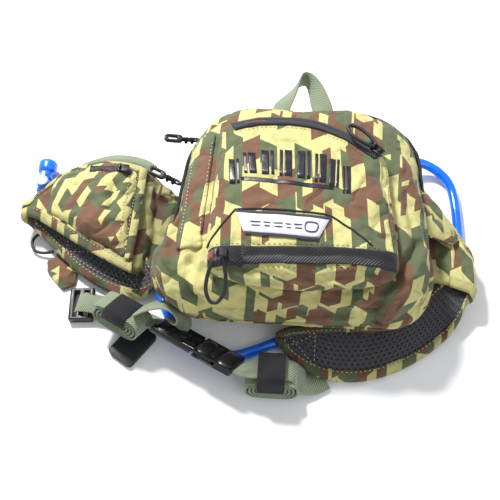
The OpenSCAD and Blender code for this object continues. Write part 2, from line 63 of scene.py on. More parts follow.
MIDDLE_Y = board_low[1] + 76 * MM          # the back panel reaches 76 mm below the pouch's middle


def place(p):
    return Vector((MIDDLE_X + p[0] * MM, MIDDLE_Y + p[1] * MM, p[2] * MM))


def unit(v):
    return Vector(v).normalized()


# ---- camera and light -----------------------------------------------------------------------
scene = bpy.context.scene
scene.view_settings.view_transform = "Standard"
CAMERA_TURN, CAMERA_RISE, CAMERA_AWAY, CAMERA_LENS = radians(3.6), radians(58), 750, 60
LOOK_AT = Vector((-45, -38, 38))


def make_camera():
    back = Vector((sin(CAMERA_TURN) * cos(CAMERA_RISE), -cos(CAMERA_TURN) * cos(CAMERA_RISE),
                   sin(CAMERA_RISE)))
    camera = bpy.data.objects.new("camera", bpy.data.cameras.new("camera"))
    scene.collection.objects.link(camera)
    camera.location = place(LOOK_AT + back * CAMERA_AWAY)
    camera.rotation_euler = (-back).to_track_quat("-Z", "Y").to_euler()
    camera.data.lens = CAMERA_LENS
    camera.data.sensor_width = 36
    camera.data.clip_start = 0.01
    scene.camera = camera


def make_light(name, kind, spot, aim, power, size):
    lamp = bpy.data.objects.new(name, bpy.data.lights.new(name, kind))
    scene.collection.objects.link(lamp)
    lamp.location = spot
    lamp.rotation_euler = (Vector(aim) - Vector(spot)).to_track_quat("-Z", "Y").to_euler()
    lamp.data.energy = power
    if kind == "AREA":
        lamp.data.shape = "DISK"
        lamp.data.size = size
    else:
        lamp.data.angle = size


make_camera()
make_light("key", "AREA", (-0.5, 0.62, 1.15), (0, 0, 0), 33, 0.26)
make_light("fill", "AREA", (0.9, -0.9, 0.9), (0, 0, 0), 5, 1.2)
world = bpy.data.worlds.new("studio")
world.use_nodes = True
world.node_tree.nodes["Background"].inputs[0].default_value = (0.93, 0.96, 1.0, 1)
world.node_tree.nodes["Background"].inputs[1].default_value = 0.58
scene.world = world


# ---- materials ------------------------------------------------------------------------------
class Paint:
    """A node material under construction."""

    def __init__(self, name, roughness=0.7, **sockets):
        self.material = bpy.data.materials.new(name)
        self.material.use_nodes = True
        self.tree = self.material.node_tree
        self.shader = self.tree.nodes["Principled BSDF"]
        self.shader.inputs["Roughness"].default_value = roughness
        for key, value in sockets.items():
            self.shader.inputs[key.replace("_", " ").title().replace("Ior", "IOR")].default_value = value

    def node(self, kind, **inputs):
        made = self.tree.nodes.new(kind)
        for key, value in inputs.items():
            self.put(made.inputs[key.replace("_", " ")], value)
        return made

    def put(self, socket, value):
        if isinstance(value, bpy.types.NodeSocket):
            self.tree.links.new(value, socket)
        else:
            socket.default_value = value

    def math(self, operation, *values):
        made = self.tree.nodes.new("ShaderNodeMath")
        made.operation = operation
        for socket, value in zip(made.inputs, values):
            self.put(socket, value)
        return made.outputs[0]

    def add(self, a, b):
        return self.math("ADD", a, b)

    def sub(self, a, b):
        return self.math("SUBTRACT", a, b)

    def mul(self, a, b):
        return self.math("MULTIPLY", a, b)

    def div(self, a, b):
        return self.math("DIVIDE", a, b)

    def uv(self):
        made = self.tree.nodes.new("ShaderNodeUVMap")
        made.uv_map = "cloth"
        return made.outputs[0]

    def split(self, vector):
        made = self.node("ShaderNodeSeparateXYZ", Vector=vector)
        return made.outputs[0], made.outputs[1]

    def join(self, x, y, z=0.0):
        return self.node("ShaderNodeCombineXYZ", X=x, Y=y, Z=z).outputs[0]

    def noise(self, vector, scale, detail=3.0):
        made = self.node("ShaderNodeTexNoise", Vector=vector, Scale=scale, Detail=detail)
        return made.outputs[0]

    def ramp(self, value, stops, steps=False):
        made = self.node("ShaderNodeValToRGB", Fac=value)
        made.color_ramp.interpolation = "CONSTANT" if steps else "LINEAR"
        while len(made.color_ramp.elements) < len(stops):
            made.color_ramp.elements.new(0.5)
        for element, (at, colour) in zip(made.color_ramp.elements, stops):
            element.position = at
            element.color = (*colour, 1)
        return made.outputs[0]

    def mix(self, amount, a, b, blend="MIX"):
        made = self.tree.nodes.new("ShaderNodeMix")
        made.data_type = "RGBA"
        made.blend_type = blend
        self.put(made.inputs[0], amount)
        self.put(made.inputs[6], a)
        self.put(made.inputs[7], b)
        return made.outputs[2]

    def bump(self, height, strength, distance, under=None):
        made = self.node("ShaderNodeBump", Height=height, Strength=strength, Distance=distance)
        if under is not None:
            self.put(made.inputs["Normal"], under)
        return made.outputs[0]

    def done(self, colour=None, roughness=None, normal=None):
        if colour is not None:
            self.put(self.shader.inputs["Base Color"], colour)
        if roughness is not None:
            self.put(self.shader.inputs["Roughness"], roughness)
        if normal is not None:
            self.put(self.shader.inputs["Normal"], normal)
        return self.material


def rgb(r, g, b):
    """A screen colour from 0 to 255 as the linear colour that a shader takes."""
    return tuple(((c / 255 + 0.055) / 1.055) ** 2.4 if c > 10 else c / 255 / 12.92 for c in (r, g, b))


LIGHT, SAGE, BROWN = rgb(208, 201, 134), rgb(95, 103, 72), rgb(117, 84, 63)


def shards(paint, u, v, width, height, seed):
    """A random number for each slanted block of an angular print, in mirrored columns."""
    across = paint.div(u, width)
    column = paint.math("FLOOR", across)
    share = paint.sub(paint.sub(across, column), 0.5)
    flip = paint.sub(paint.mul(paint.math("FLOORED_MODULO", column, 2.0), 2.0), 1.0)
    start = paint.node("ShaderNodeTexWhiteNoise", Vector=paint.join(column, seed, 3.0)).outputs[0]
    lean = paint.mul(paint.mul(share, flip), 0.62 * width / height)
    up = paint.add(paint.add(paint.div(v, height), lean), start)
    cell = paint.join(column, paint.math("FLOOR", up), seed)
    return paint.node("ShaderNodeTexWhiteNoise", Vector=cell).outputs[0]


def weave(paint, u, v, pitch):
    """The height of a plain weave."""
    one = paint.math("SINE", paint.mul(u, 2 * pi / pitch))
    two = paint.math("SINE", paint.mul(v, 2 * pi / pitch))
    return paint.mul(one, two)


def camo_cloth(name, dim=1.0):
    paint = Paint(name, 0.72, sheen_weight=0.12, sheen_roughness=0.5, specular_ior_level=0.22)
    at = paint.uv()
    u, v = paint.split(at)
    small = shards(paint, u, v, 0.0085, 0.019, 5.0)
    large = shards(paint, u, v, 0.0150, 0.027, 11.0)
    pick = shards(paint, u, v, 0.0230, 0.036, 23.0)
    value = paint.add(paint.mul(small, paint.math("GREATER_THAN", pick, 0.58)),
                       paint.mul(large, paint.math("LESS_THAN", pick, 0.58)))
    # dim darkens all three dyes alike; the left root's copy at 0.58 uses it as painted shade
    dye = [tuple(c * dim for c in tone) for tone in (LIGHT, SAGE, BROWN)]
    print_ = paint.ramp(value, [(0, dye[0]), (0.40, dye[1]), (0.72, dye[2])], steps=True)
    faded = paint.ramp(paint.noise(at, 30.0), [(0.3, (0.84, 0.84, 0.84)), (0.7, (1.0, 1.0, 1.0))])
    threads = weave(paint, u, v, 0.0009)
    # painted shade: the weave's valleys are darkened by the threads' height
    weave_painted_shade = paint.ramp(threads, [(0.0, (0.86, 0.86, 0.86)), (0.6, (1.0, 1.0, 1.0))])
    colour = paint.mix(1.0, paint.mix(1.0, print_, faded, "MULTIPLY"), weave_painted_shade, "MULTIPLY")
    rough = paint.add(paint.mul(paint.noise(at, 60.0), 0.25), 0.58)
    fine = paint.bump(threads, 0.35, 0.0004)
    ridge = paint.math("ABSOLUTE", paint.sub(paint.noise(at, 26.0, 2.0), 0.5))
    wrinkled = paint.bump(paint.math("MINIMUM", ridge, 0.12), 0.9, 0.022, fine)
    crinkled = paint.bump(paint.noise(at, 75.0, 4.0), 0.4, 0.004, wrinkled)
    return paint.done(colour, rough, crinkled)


def webbing_cloth():
    paint = Paint("webbing", 0.75, sheen_weight=0.3, specular_ior_level=0.3)
    at = paint.uv()
    u, v = paint.split(at)
    slant = paint.math("SINE", paint.mul(paint.add(u, v), 2 * pi / 0.0024))
    ribs = paint.math("SINE", paint.mul(paint.sub(u, v), 2 * pi / 0.0012))
    height = paint.add(slant, paint.mul(ribs, 0.4))
    tone = paint.ramp(height, [(0.0, rgb(110, 122, 97)), (0.8, rgb(158, 170, 140))])
    worn = paint.ramp(paint.noise(at, 45.0), [(0.35, (0.85, 0.85, 0.85)), (0.65, (1.0, 1.0, 1.0))])
    return paint.done(paint.mix(1.0, tone, worn, "MULTIPLY"), None, paint.bump(height, 0.5, 0.0006))


def mesh_cloth():
    """Knitted spacer mesh: rows of round holes, each row shifted by half a hole."""
    paint = Paint("spacer_mesh", 0.6, sheen_weight=0.4, specular_ior_level=0.4)
    at = paint.uv()
    u, v = paint.split(at)
    down = paint.div(v, 0.0040)
    row = paint.math("FLOOR", down)
    along = paint.add(paint.div(u, 0.0052),
                       paint.mul(paint.math("FLOORED_MODULO", row, 2.0), 0.5))
    x = paint.sub(paint.math("FRACT", along), 0.5)
    y = paint.sub(paint.math("FRACT", down), 0.5)
    reach = paint.math("SQRT", paint.add(paint.mul(x, x), paint.mul(y, y)))
    rim = paint.ramp(reach, [(0.27, (0, 0, 0)), (0.40, (1, 1, 1))])
    yarn = weave(paint, u, v, 0.0011)
    tone = paint.mix(rim, (*rgb(8, 8, 11), 1), (*rgb(66, 62, 74), 1))
    # painted light: the yarn's crowns are brightened as painted highlights and its valleys darkened as
    # painted shade
    yarn_painted_light = paint.ramp(yarn, [(0.0, (0.62, 0.62, 0.62)), (0.7, (1.15, 1.15, 1.15))])
    normal = paint.bump(rim, 0.8, 0.0015, paint.bump(yarn, 0.4, 0.0004))
    return paint.done(paint.mix(1.0, tone, yarn_painted_light, "MULTIPLY"), None, normal)


def zip_cloth():
    """Zip tape with its closed coil along the middle."""
    paint = Paint("zip_tape", 0.55, specular_ior_level=0.45)
    at = paint.uv()
    u, v = paint.split(at)
    side = paint.math("ABSOLUTE", v)
    herring = paint.math("SINE", paint.mul(paint.add(u, side), 2 * pi / 0.0027))
    split = paint.ramp(side, [(0.0, (0, 0, 0)), (0.0008, (1, 1, 1))])
    tone = paint.ramp(herring, [(0.0, rgb(6, 5, 7)), (0.9, rgb(58, 56, 64))])
    height = paint.mul(paint.add(herring, 1.5), split)
    colour = paint.mix(1.0, tone, paint.ramp(paint.noise(at, 700.0), [(0.3, (0.6, 0.6, 0.6)),
                                                                     (0.7, (1.1, 1.1, 1.1))]), "MULTIPLY")
    return paint.done(colour, None, paint.bump(height, 0.6, 0.0007))


def moulded(name, tone, roughness, grain=900.0, lift=0.25, coat=0.0, **more):
    """Moulded plastic or rubber: fine grain, faint blotches and dull patches."""
    paint = Paint(name, roughness, coat_weight=coat, **more)
    at = paint.node("ShaderNodeTexCoord").outputs["Object"]
    blotch = paint.noise(at, 60.0)
    colour = paint.ramp(blotch, [(0.3, tuple(c * 0.8 for c in tone)), (0.7, tuple(c * 1.15 for c in tone))])
    rough = paint.add(paint.mul(paint.noise(at, 140.0), 0.25), roughness - 0.1)
    return paint.done(colour, rough, paint.bump(paint.noise(at, grain), lift, 0.0003))


def plain_cloth(name, dark, light, pitch=0.001, roughness=0.8, fuzz=0.0, sheen=0.3, printed=True):
    """A woven cloth of one colour; printed cloth follows the piece's own map, other cloth its place."""
    paint = Paint(name, roughness, sheen_weight=sheen)
    at = paint.uv() if printed else paint.node("ShaderNodeTexCoord").outputs["Object"]
    u, v = paint.split(at)
    threads = weave(paint, u, v, pitch)
    tone = paint.ramp(paint.add(paint.mul(threads, 0.5), paint.noise(at, 120.0)),
                      [(0.2, dark), (0.9, light)])
    normal = paint.bump(threads, 0.5, 0.0005)
    if fuzz:
        normal = paint.bump(paint.noise(at, 1400.0), fuzz, 0.0012, normal)
    return paint.done(tone, None, normal)


CAMO = camo_cloth("camo_cloth")
CAMO_TAPE = camo_cloth("camo_tape", 0.82)
# a darker copy of the camo as painted shade, for the shaded hollow where the left root sinks between pouch
# and wing
CAMO_PAINTED_SHADE = camo_cloth("camo_painted_shade", 0.58)
WEBBING = webbing_cloth()
MESH = mesh_cloth()
ZIP = zip_cloth()
HARD = moulded("glossy_black", rgb(15, 15, 18), 0.3, 700.0, 0.15, coat=0.15)
SATIN = moulded("satin_black", rgb(19, 19, 22), 0.42, 900.0, 0.3)
RUBBER = moulded("rubber_black", rgb(16, 16, 19), 0.5, 1200.0, 0.3)
INK = moulded("print_ink", rgb(22, 19, 29), 0.3, 1500.0, 0.35, coat=0.2)
FUZZ = plain_cloth("hook_and_loop", rgb(0, 0, 1), rgb(30, 29, 35), 0.0012, 0.95, 0.9, 0.05)
PATCH = plain_cloth("patch_cloth", rgb(205, 200, 224), rgb(238, 234, 246), 0.0008, 0.6)
BORDER = plain_cloth("dark_border", rgb(26, 24, 38), rgb(48, 46, 62), 0.0008, 0.6)
# the lining's red is its own colour; its dark end is painted shade for the shade deep in the zip openings
LINING_WITH_PAINTED_SHADE = plain_cloth("red_lining_painted_shade", rgb(66, 14, 8), rgb(150, 40, 20), 0.001, 0.7)
BLACK_CLOTH = plain_cloth("black_cloth", rgb(10, 10, 12), rgb(34, 33, 38), 0.001, 0.8, 0.0, 0.1)
INNER_CLOTH = plain_cloth("inner_cloth", rgb(16, 16, 19), rgb(44, 43, 49), 0.0012, 0.85, 0.0, 0.1, False)
THREAD = plain_cloth("cream_thread", rgb(196, 186, 150), rgb(240, 232, 204), 0.0005, 0.6)
DARK_THREAD = plain_cloth("olive_thread", rgb(70, 74, 48), rgb(112, 112, 76), 0.0005, 0.6)
BLUE = moulded("tube_blue", rgb(8, 122, 255), 0.1, 300.0, 0.05, coat=0.6, transmission_weight=0.3, ior=1.42)
CAP_BLUE = moulded("cap_blue", rgb(0, 60, 190), 0.35)
GRIP_BLUE = moulded("valve_blue", rgb(10, 104, 240), 0.24, 500.0, 0.1, coat=0.3, subsurface_weight=0.15)
PALE_BLUE = moulded("lever_blue", rgb(150, 172, 205), 0.4)
BAG = moulded("bag_film", rgb(70, 140, 225), 0.2, 120.0, 0.4, transmission_weight=0.5)
BOARD = moulded("board_sheet", rgb(38, 38, 42), 0.6, 400.0, 0.4)


# ---- outlines and lines ---------------------------------------------------------------------
def arc(cx, cy, r, a0, a1, n):
    return [(cx + r * cos(radians(a0 + (a1 - a0) * i / n)), cy + r * sin(radians(a0 + (a1 - a0) * i / n)))
            for i in range(n + 1)]


def dome(low, high, inset):
    """A symmetric outline from a bottom-corner and a top-corner circle, given as x, y, r."""
    turn = atan2(high[1] - low[1], high[0] - low[0]) - acos(
        (low[2] - high[2]) / hypot(high[0] - low[0], high[1] - low[1]))
    a = turn * 180 / pi
    return (arc(low[0], low[1], low[2] - inset, -90, a, 16) + arc(high[0], high[1], high[2] - inset, a, 90,
                                                                  16)
            + arc(-high[0], high[1], high[2] - inset, 90, 180 - a, 16)
            + arc(-low[0], low[1], low[2] - inset, 180 - a, 270, 16))


def pouch_outline(inset):
    return dome((73, -68, 45), (42, 44, 68), inset)


SWELL = 14


def swollen(p):
    """The pouch's lower left corner bulges out over the wing's end, less along the zip."""
    spread = 25 + 14 * max(0.0, min(1.0, (p.z - 46) / 12))
    out = max(0.0, min(1.0, (-p.x - 50) / 50)) * exp(-((p.y + 76) / spread) ** 2)
    return Vector((p.x - SWELL * out, p.y - 3 * out, p.z))


def back_outline(inset):
    return dome((68, -40, 36), (40, 42, 58), inset)


ZIP_CENTRE, ZIP_R = (-20, -52), 126


def zip_arc(a, r):
    return ZIP_CENTRE[0] + r * cos(radians(a)), ZIP_CENTRE[1] + r * sin(radians(a))


def pocket_outline(inset):
    """The front pocket: a bowed bottom, nearly straight sides and one long arc along the top."""
    p, q = zip_arc(44, ZIP_R - 14), zip_arc(116, ZIP_R - 10)
    bottom = spline([(-83 + inset, -84), (-76 + inset, -95 + inset), (-52, -101 + inset),
                     (-15, -105 + inset),
                     (22, -104 + inset), (56, -99 + inset), (78 - inset, -91 + inset), (84 - inset, -80)],
                    6)
    return (bottom + arc(p[0], p[1], 14 - inset, 0, 44, 6)
            + arc(ZIP_CENTRE[0], ZIP_CENTRE[1], ZIP_R - inset, 44, 116, 24)
            + arc(q[0], q[1], 10 - inset, 116, 180, 6))


def spline(points, steps, closed=False):
    """Catmull-Rom through points of any dimension."""
    n = len(points)
    out = []
    for i in range(n if closed else n - 1):
        a, b, c, d = (points[(i + k) % n] if closed else points[min(max(i + k, 0), n - 1)]
                      for k in (-1, 0, 1, 2))
        for s in range(steps):
            t = s / steps
            out.append(tuple(0.5 * (2 * q + (r - p) * t + (2 * p - 5 * q + 4 * r - w) * t * t
                                    + (3 * q - p - 3 * r + w) * t ** 3) for p, q, r, w in zip(a, b, c, d)))
    if not closed:
        out.append(tuple(points[-1]))
    return out


def even(points, count, closed=False):
    """The same line with its points evenly spaced."""
    line = [Vector(p) for p in points]
    if closed:
        line.append(line[0])
    gone = [0.0]
    for p, q in zip(line, line[1:]):
        gone.append(gone[-1] + (q - p).length)
    last = count if closed else count - 1
    out, k = [], 0
    for i in range(count):
        want = gone[-1] * i / last
        while k < len(gone) - 2 and gone[k + 1] < want:
            k += 1
        t = (want - gone[k]) / max(gone[k + 1] - gone[k], 1e-9)
        out.append(line[k].lerp(line[k + 1], t))
    return out


def ring(outline, z, count=96):
    return [Vector((p[0], p[1], z)) for p in even(outline, count, closed=True)]


def heading(pts, i):
    """The line's direction at one of its points."""
    return (pts[min(i + 1, len(pts) - 1)] - pts[max(i - 1, 0)]).normalized()


# ---- meshes ---------------------------------------------------------------------------------
def smooth(mesh):
    for face in mesh.polygons:
        face.use_smooth = True


def link(name, mesh, material, body=None):
    made = bpy.data.objects.new(name, mesh)
    scene.collection.objects.link(made)
    mesh.materials.clear()
    mesh.materials.append(material)
    smooth(mesh)
    if body:
        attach(made, body)
    return made


def mesh_from(verts, faces, corners=None):
    mesh = bpy.data.meshes.new("mesh")
    mesh.from_pydata([place(v) for v in verts], [], faces)
    layer = mesh.uv_layers.new(name="cloth")
    if corners is not None:
        layer.data.foreach_set("uv", [c * MM for pair in corners for c in pair])
    mesh.update()
    return mesh


def spans(row, close):
    gone = [0.0]
    for p, q in zip(row, row[1:] + ([row[0]] if close else [])):
        gone.append(gone[-1] + (q - p).length)
    return gone


def sheet_mesh(rows, close=False, cap=False, shift=(0, 0)):
    """A skin over rows of points, with its print laid out in true lengths."""
    rows = [[Vector(p) for p in row] for row in rows]
    m, n = len(rows), len(rows[0])
    along = [0.0]
    for a, b in zip(rows, rows[1:]):
        along.append(along[-1] + sum((q - p).length for p, q in zip(a, b)) / n)
    across = [[g - (0 if close else gone[-1] / 2) for g in gone] for gone in (spans(r, close)
                                                                              for r in rows)]
    faces, corners = [], []
    for i in range(m - 1):
        for j in range(n if close else n - 1):
            k = (j + 1) % n
            faces.append((i * n + j, (i + 1) * n + j, (i + 1) * n + k, i * n + k))
            corners += [(along[r] + shift[0], across[r][c] + shift[1])
                        for r, c in ((i, j), (i + 1, j), (i + 1, j + 1), (i, j + 1))]
    if cap:
        for r, order in ((0, range(n)), (m - 1, range(n - 1, -1, -1))):
            faces.append(tuple(r * n + j for j in order))
            corners += [(along[r], across[r][j]) for j in order]
    return mesh_from([p for row in rows for p in row], faces, corners)


def solid(name, rows, material, body=None):
    """A closed piece over rings of points."""
    return link(name, sheet_mesh(rows, close=True, cap=True), material, body)


def flat_print(mesh, turn=0.0, shift=(0.0, 0.0), front=1):
    """Lays the print flat on the front and lets it run on down the sides, with no break between them."""
    layer = mesh.uv_layers.get("cloth") or mesh.uv_layers.new(name="cloth")
    co = np.empty(len(mesh.vertices) * 3, np.float32)
    mesh.vertices.foreach_get("co", co)
    co = co.reshape(-1, 3)
    middle = (co.min(axis=0) + co.max(axis=0)) / 2
    half = (co.max(axis=0) - co.min(axis=0)) / 2
    drop = np.minimum((co[:, 2] - (middle[2] + front * half[2])) * front + 0.006, 0.0)
    reach = np.clip((co - middle) / half, -1, 1) ** 3
    x, y = co[:, 0] - reach[:, 0] * drop, co[:, 1] - reach[:, 1] * drop
    c, s = cos(turn), sin(turn)
    flat = np.stack([c * x - s * y + shift[0], s * x + c * y + shift[1]], axis=1)
    corner = np.empty(len(mesh.loops), np.int32)
    mesh.loops.foreach_get("vertex_index", corner)
    layer.data.foreach_set("uv", flat[corner].astype(np.float32).ravel())


def applied(obj):
    """The object's mesh with its modifiers in it, and no modifiers left."""
    bpy.context.view_layer.update()
    graph = bpy.context.evaluated_depsgraph_get()
    mesh = bpy.data.meshes.new_from_object(obj.evaluated_get(graph), depsgraph=graph)
    obj.modifiers.clear()
    obj.data = mesh
    return mesh


def soften(obj, levels=1):
    """Rounds a piece off by subdivision."""
    soft = obj.modifiers.new("soft", "SUBSURF")
    soft.levels = soft.render_levels = levels
    applied(obj)


def coords(mesh):
    co = np.empty(len(mesh.vertices) * 3)
    mesh.vertices.foreach_get("co", co)
    return co.reshape(-1, 3)


def normals(mesh):
    out = np.empty(len(mesh.vertices) * 3)
    mesh.vertex_normals.foreach_get("vector", out)
    return out.reshape(-1, 3)


def puff(obj, voxel=0.005, pressure=4.0, cap=0.006, frames=20):
    """Inflates a closed cloth shell by simulation; no point moves out further than the cap."""
    remesh = obj.modifiers.new("remesh", "REMESH")
    remesh.mode = "VOXEL"
    remesh.voxel_size = voxel
    start = coords(applied(obj)).copy()
    out = normals(obj.data)
    cloth = obj.modifiers.new("cloth", "CLOTH")
    cloth.settings.use_pressure = True
    cloth.settings.uniform_pressure_force = pressure
    cloth.settings.effector_weights.gravity = 0
    cloth.point_cache.frame_start, cloth.point_cache.frame_end = 1, frames
    for i in range(1, frames + 1):
        scene.frame_set(i)
    end = coords(applied(obj))
    scene.frame_set(1)
    rise = ((end - start) * out).sum(axis=1, keepdims=True)
    rise *= cap / max(float(np.percentile(rise, 98)), 1e-6)
    end = start + out * np.clip(rise, -0.2 * cap, cap)
    obj.data.vertices.foreach_set("co", end.ravel())
    soften(obj)


def distances(co, pts):
    """Each point's distance from a line of points, all in metres."""
    best = np.full(len(co), 1e9)
    for a, b in zip(pts, pts[1:]):
        d = b - a
        t = np.clip(((co - a) @ d) / max(d @ d, 1e-12), 0, 1)
        best = np.minimum(best, np.linalg.norm(co - a - t[:, None] * d, axis=1))
    return best


def snapped(co, line):
    """The line's points, closely spaced and each moved onto the nearest point of the mesh."""
    pts = [place(p) for p in (spline([tuple(p) for p in line], 5) if len(line) > 2 else line)]
    return np.array([co[np.argmin(((co - np.array(p)) ** 2).sum(axis=1))] for p in pts])


FOLD_GAIN = 1.3          # how much deeper than written a fold is pressed


def crease(mesh, folds, rumple=0.0, size=30.0, seed=0.0):
    """Presses lines of (points, depth, width) into the cloth, in mm, and rumples it all over."""
    co, n = coords(mesh), normals(mesh)
    push = np.zeros(len(co))
    for line, depth, width in folds:
        push -= FOLD_GAIN * depth * MM * np.exp(-(distances(co, snapped(co, line)) / (width * MM)) ** 2)
    if rumple:
        f = 1 / (size * MM)
        for i, p in enumerate(co):
            at = Vector(p) * f + Vector((seed, seed * 0.7, 0))
            broad = noise.noise(at)
            sharp = 1 - abs(noise.noise(at * 1.9 + Vector((5.2, 1.3, 8.1)))) * 2.2
            push[i] += rumple * MM * (broad * 0.9 + 0.5 * sharp * abs(sharp))
    mesh.vertices.foreach_set("co", (co + n * push[:, None]).ravel())
    mesh.update()


def loft(name, rings, material, body, turn=0.0, puffed=None, folds=(), rumple=0.0, size=30.0,
         seed=0.0):
    mesh = sheet_mesh(rings, close=True, cap=True)
    obj = link(name, mesh, material)
    if puffed:
        puff(obj, **puffed)
    crease(obj.data, folds, rumple, size, seed)
    flat_print(obj.data, turn)
    smooth(obj.data)
    if body:
        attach(obj, body)
    return obj


class Surface:
    """A finished piece that other pieces are laid on."""

    def __init__(self, obj):
        verts = [v.co.copy() for v in obj.data.vertices]
        self.tree = BVHTree.FromPolygons(verts, [list(f.vertices) for f in obj.data.polygons])
        middle = Vector([sum(c) / len(verts) for c in zip(*verts)])
        self.middle = middle / MM - Vector((MIDDLE_X, MIDDLE_Y, 0)) / MM

    def under(self, x, y, lift=0.0, way=(0, 0, -1), start=200):
        """The point of the cloth below (x, y), in mm, and the cloth's normal there."""
        hit, normal = self.tree.ray_cast(place((x, y, start)), Vector(way))[:2]
        if hit is None:
            return None
        if normal.z < 0:
            normal = -normal
        hit = hit + normal * lift * MM
        return Vector(((hit.x - MIDDLE_X) / MM, (hit.y - MIDDLE_Y) / MM, hit.z / MM)), normal

    def near(self, x, y, lift=0.0):
        """What lies under a point, or under the first place toward the middle that has cloth."""
        for i in range(60):
            q = Vector((x, y)).lerp(self.middle.to_2d(), i / 60)
            hit = self.under(q.x, q.y, lift)
            if hit:
                return hit
        return Vector((x, y, self.middle.z)), Vector((0, 0, 1))

    def lay(self, points, lift=0.0):
        hits = [self.under(p[0], p[1], lift) for p in points]
        return [hit[0] for hit in hits if hit]


def ribbon(name, stations, width, thick, material, body, shift=(0, 0), bow=0.0):
    """A flat strap through (point, across, out) stations; its edges are rolled over."""
    rows = []
    for point, across, out in stations:
        a, o = unit(across) * (width / 2), unit(out)
        point = Vector(point)
        rows.append([point - a, point - a * 0.94 + o * thick / 2, point + o * (thick / 2 + bow),
                     point + a * 0.94 + o * thick / 2, point + a, point + a * 0.94 - o * thick / 2,
                     point - o * (thick / 2 - bow), point - a * 0.94 - o * thick / 2])
    return link(name, sheet_mesh(rows, close=True, cap=True, shift=shift), material, body)


def along_line(points, lean=0.0, up=(0, 0, 1)):
    """Ribbon stations along a line: lean 0 lies flat and 90 stands on its edge."""
    pts = [Vector(p) for p in points]
    leans = lean if isinstance(lean, list) else [lean] * len(pts)
    out = []
    for i, p in enumerate(pts):
        t = heading(pts, i)
        s = t.cross(Vector(up)).normalized()
        u = s.cross(t)
        a = radians(leans[i])
        out.append((p, s * cos(a) + u * sin(a), -s * sin(a) + u * cos(a)))
    return out


def laid_strip(name, surface, line, width, thick, material, body, lift=0.2, columns=5):
    """A strip that follows the cloth under it, such as a zip's tape."""
    flat = [Vector((p[0], p[1], 0)) for p in line]
    tops, bottoms = [], []
    for i, p in enumerate(flat):
        t = heading(flat, i)
        s = Vector((-t.y, t.x, 0))
        top, bottom = [], []
        for c in range(columns):
            q = p + s * width * (c / (columns - 1) - 0.5)
            hit, normal = surface.near(q.x, q.y, lift)
            top.append(hit + normal * thick)
            bottom.append(hit)
        tops.append(top)
        bottoms.append(bottom)
    rows = [t + b[::-1] for t, b in zip(tops, bottoms)]
    mesh = sheet_mesh(rows, close=True, cap=True, shift=(0, -width / 2))
    return link(name, mesh, material, body)


class Stitches:
    """Rows of thread that become one piece."""

    def __init__(self):
        self.verts, self.faces = [], []

    def row(self, line, dash=2.4, gap=1.5, r=0.36):
        pts = [Vector(p) for p in line]
        total = sum((q - p).length for p, q in zip(pts, pts[1:]))
        count = max(1, int(total / (dash + gap)))
        fine = even(pts, count * 2 + 1)
        for i in range(count):
            a = fine[2 * i]
            b = a.lerp(fine[2 * i + 1], 2 * dash / (dash + gap) if dash < gap else 1.0)
            t = (b - a).normalized()
            s = t.cross(Vector((0.13, 0.31, 0.94))).normalized() * r
            u = s.cross(t)
            base = len(self.verts)
            self.verts += [a] + [a.lerp(b, f) + k for f in (0.22, 0.78) for k in (s, u, -s, -u)] + [b]
            for k in range(4):
                j = (k + 1) % 4
                self.faces += [(base, base + 1 + j, base + 1 + k),
                               (base + 1 + k, base + 1 + j, base + 5 + j, base + 5 + k),
                               (base + 5 + k, base + 5 + j, base + 9)]

    def done(self, name, material, body, slot):
        return link(name, mesh_from(self.verts, self.faces), material, body)


ROPE_ANGLES = [2 * pi * k / 10 for k in range(10)]


def rope(name, points, r, material, body, closed=False, steps=4):
    """A round cord through points, as a mesh tube."""
    line = [Vector(p) for p in spline(points, steps, closed)]
    rows = []
    n = len(line)
    for i, p in enumerate(line):
        a = line[(i - 1) % n] if closed else line[max(i - 1, 0)]
        b = line[(i + 1) % n] if closed else line[min(i + 1, n - 1)]
        t = (b - a).normalized()
        s = t.cross(Vector((0.08, 0.05, 1))).normalized()
        u = s.cross(t)
        rows.append([p + r * (s * cos(a) + u * sin(a)) for a in ROPE_ANGLES])
    if closed:
        rows.append(rows[0])
    return link(name, sheet_mesh(rows, close=True, cap=not closed), material, body)


def rounded(node, material, width, body):
    """A CAD node's shape with its edges rounded, standing for the node."""
    obj = link(node + "_moulded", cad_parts[node].data.copy(), material)
    if not obj.data.uv_layers.get("cloth"):
        obj.data.uv_layers.new(name="cloth")
    bm = bmesh.new()
    bm.from_mesh(obj.data)
    bmesh.ops.remove_doubles(bm, verts=bm.verts, dist=1e-6)
    bmesh.ops.join_triangles(bm, faces=bm.faces, angle_face_threshold=radians(1),
                             angle_shape_threshold=radians(180))
    bm.to_mesh(obj.data)
    bm.free()
    bevel = obj.modifiers.new("bevel", "BEVEL")
    bevel.width = width * MM
    bevel.segments = 2
    bevel.limit_method = "ANGLE"
    bevel.angle_limit = radians(28)
    applied(obj)
    smooth(obj.data)
    obj.data.set_sharp_from_angle(angle=radians(38))
    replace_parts(obj, node)
    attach(obj, body)
    return obj


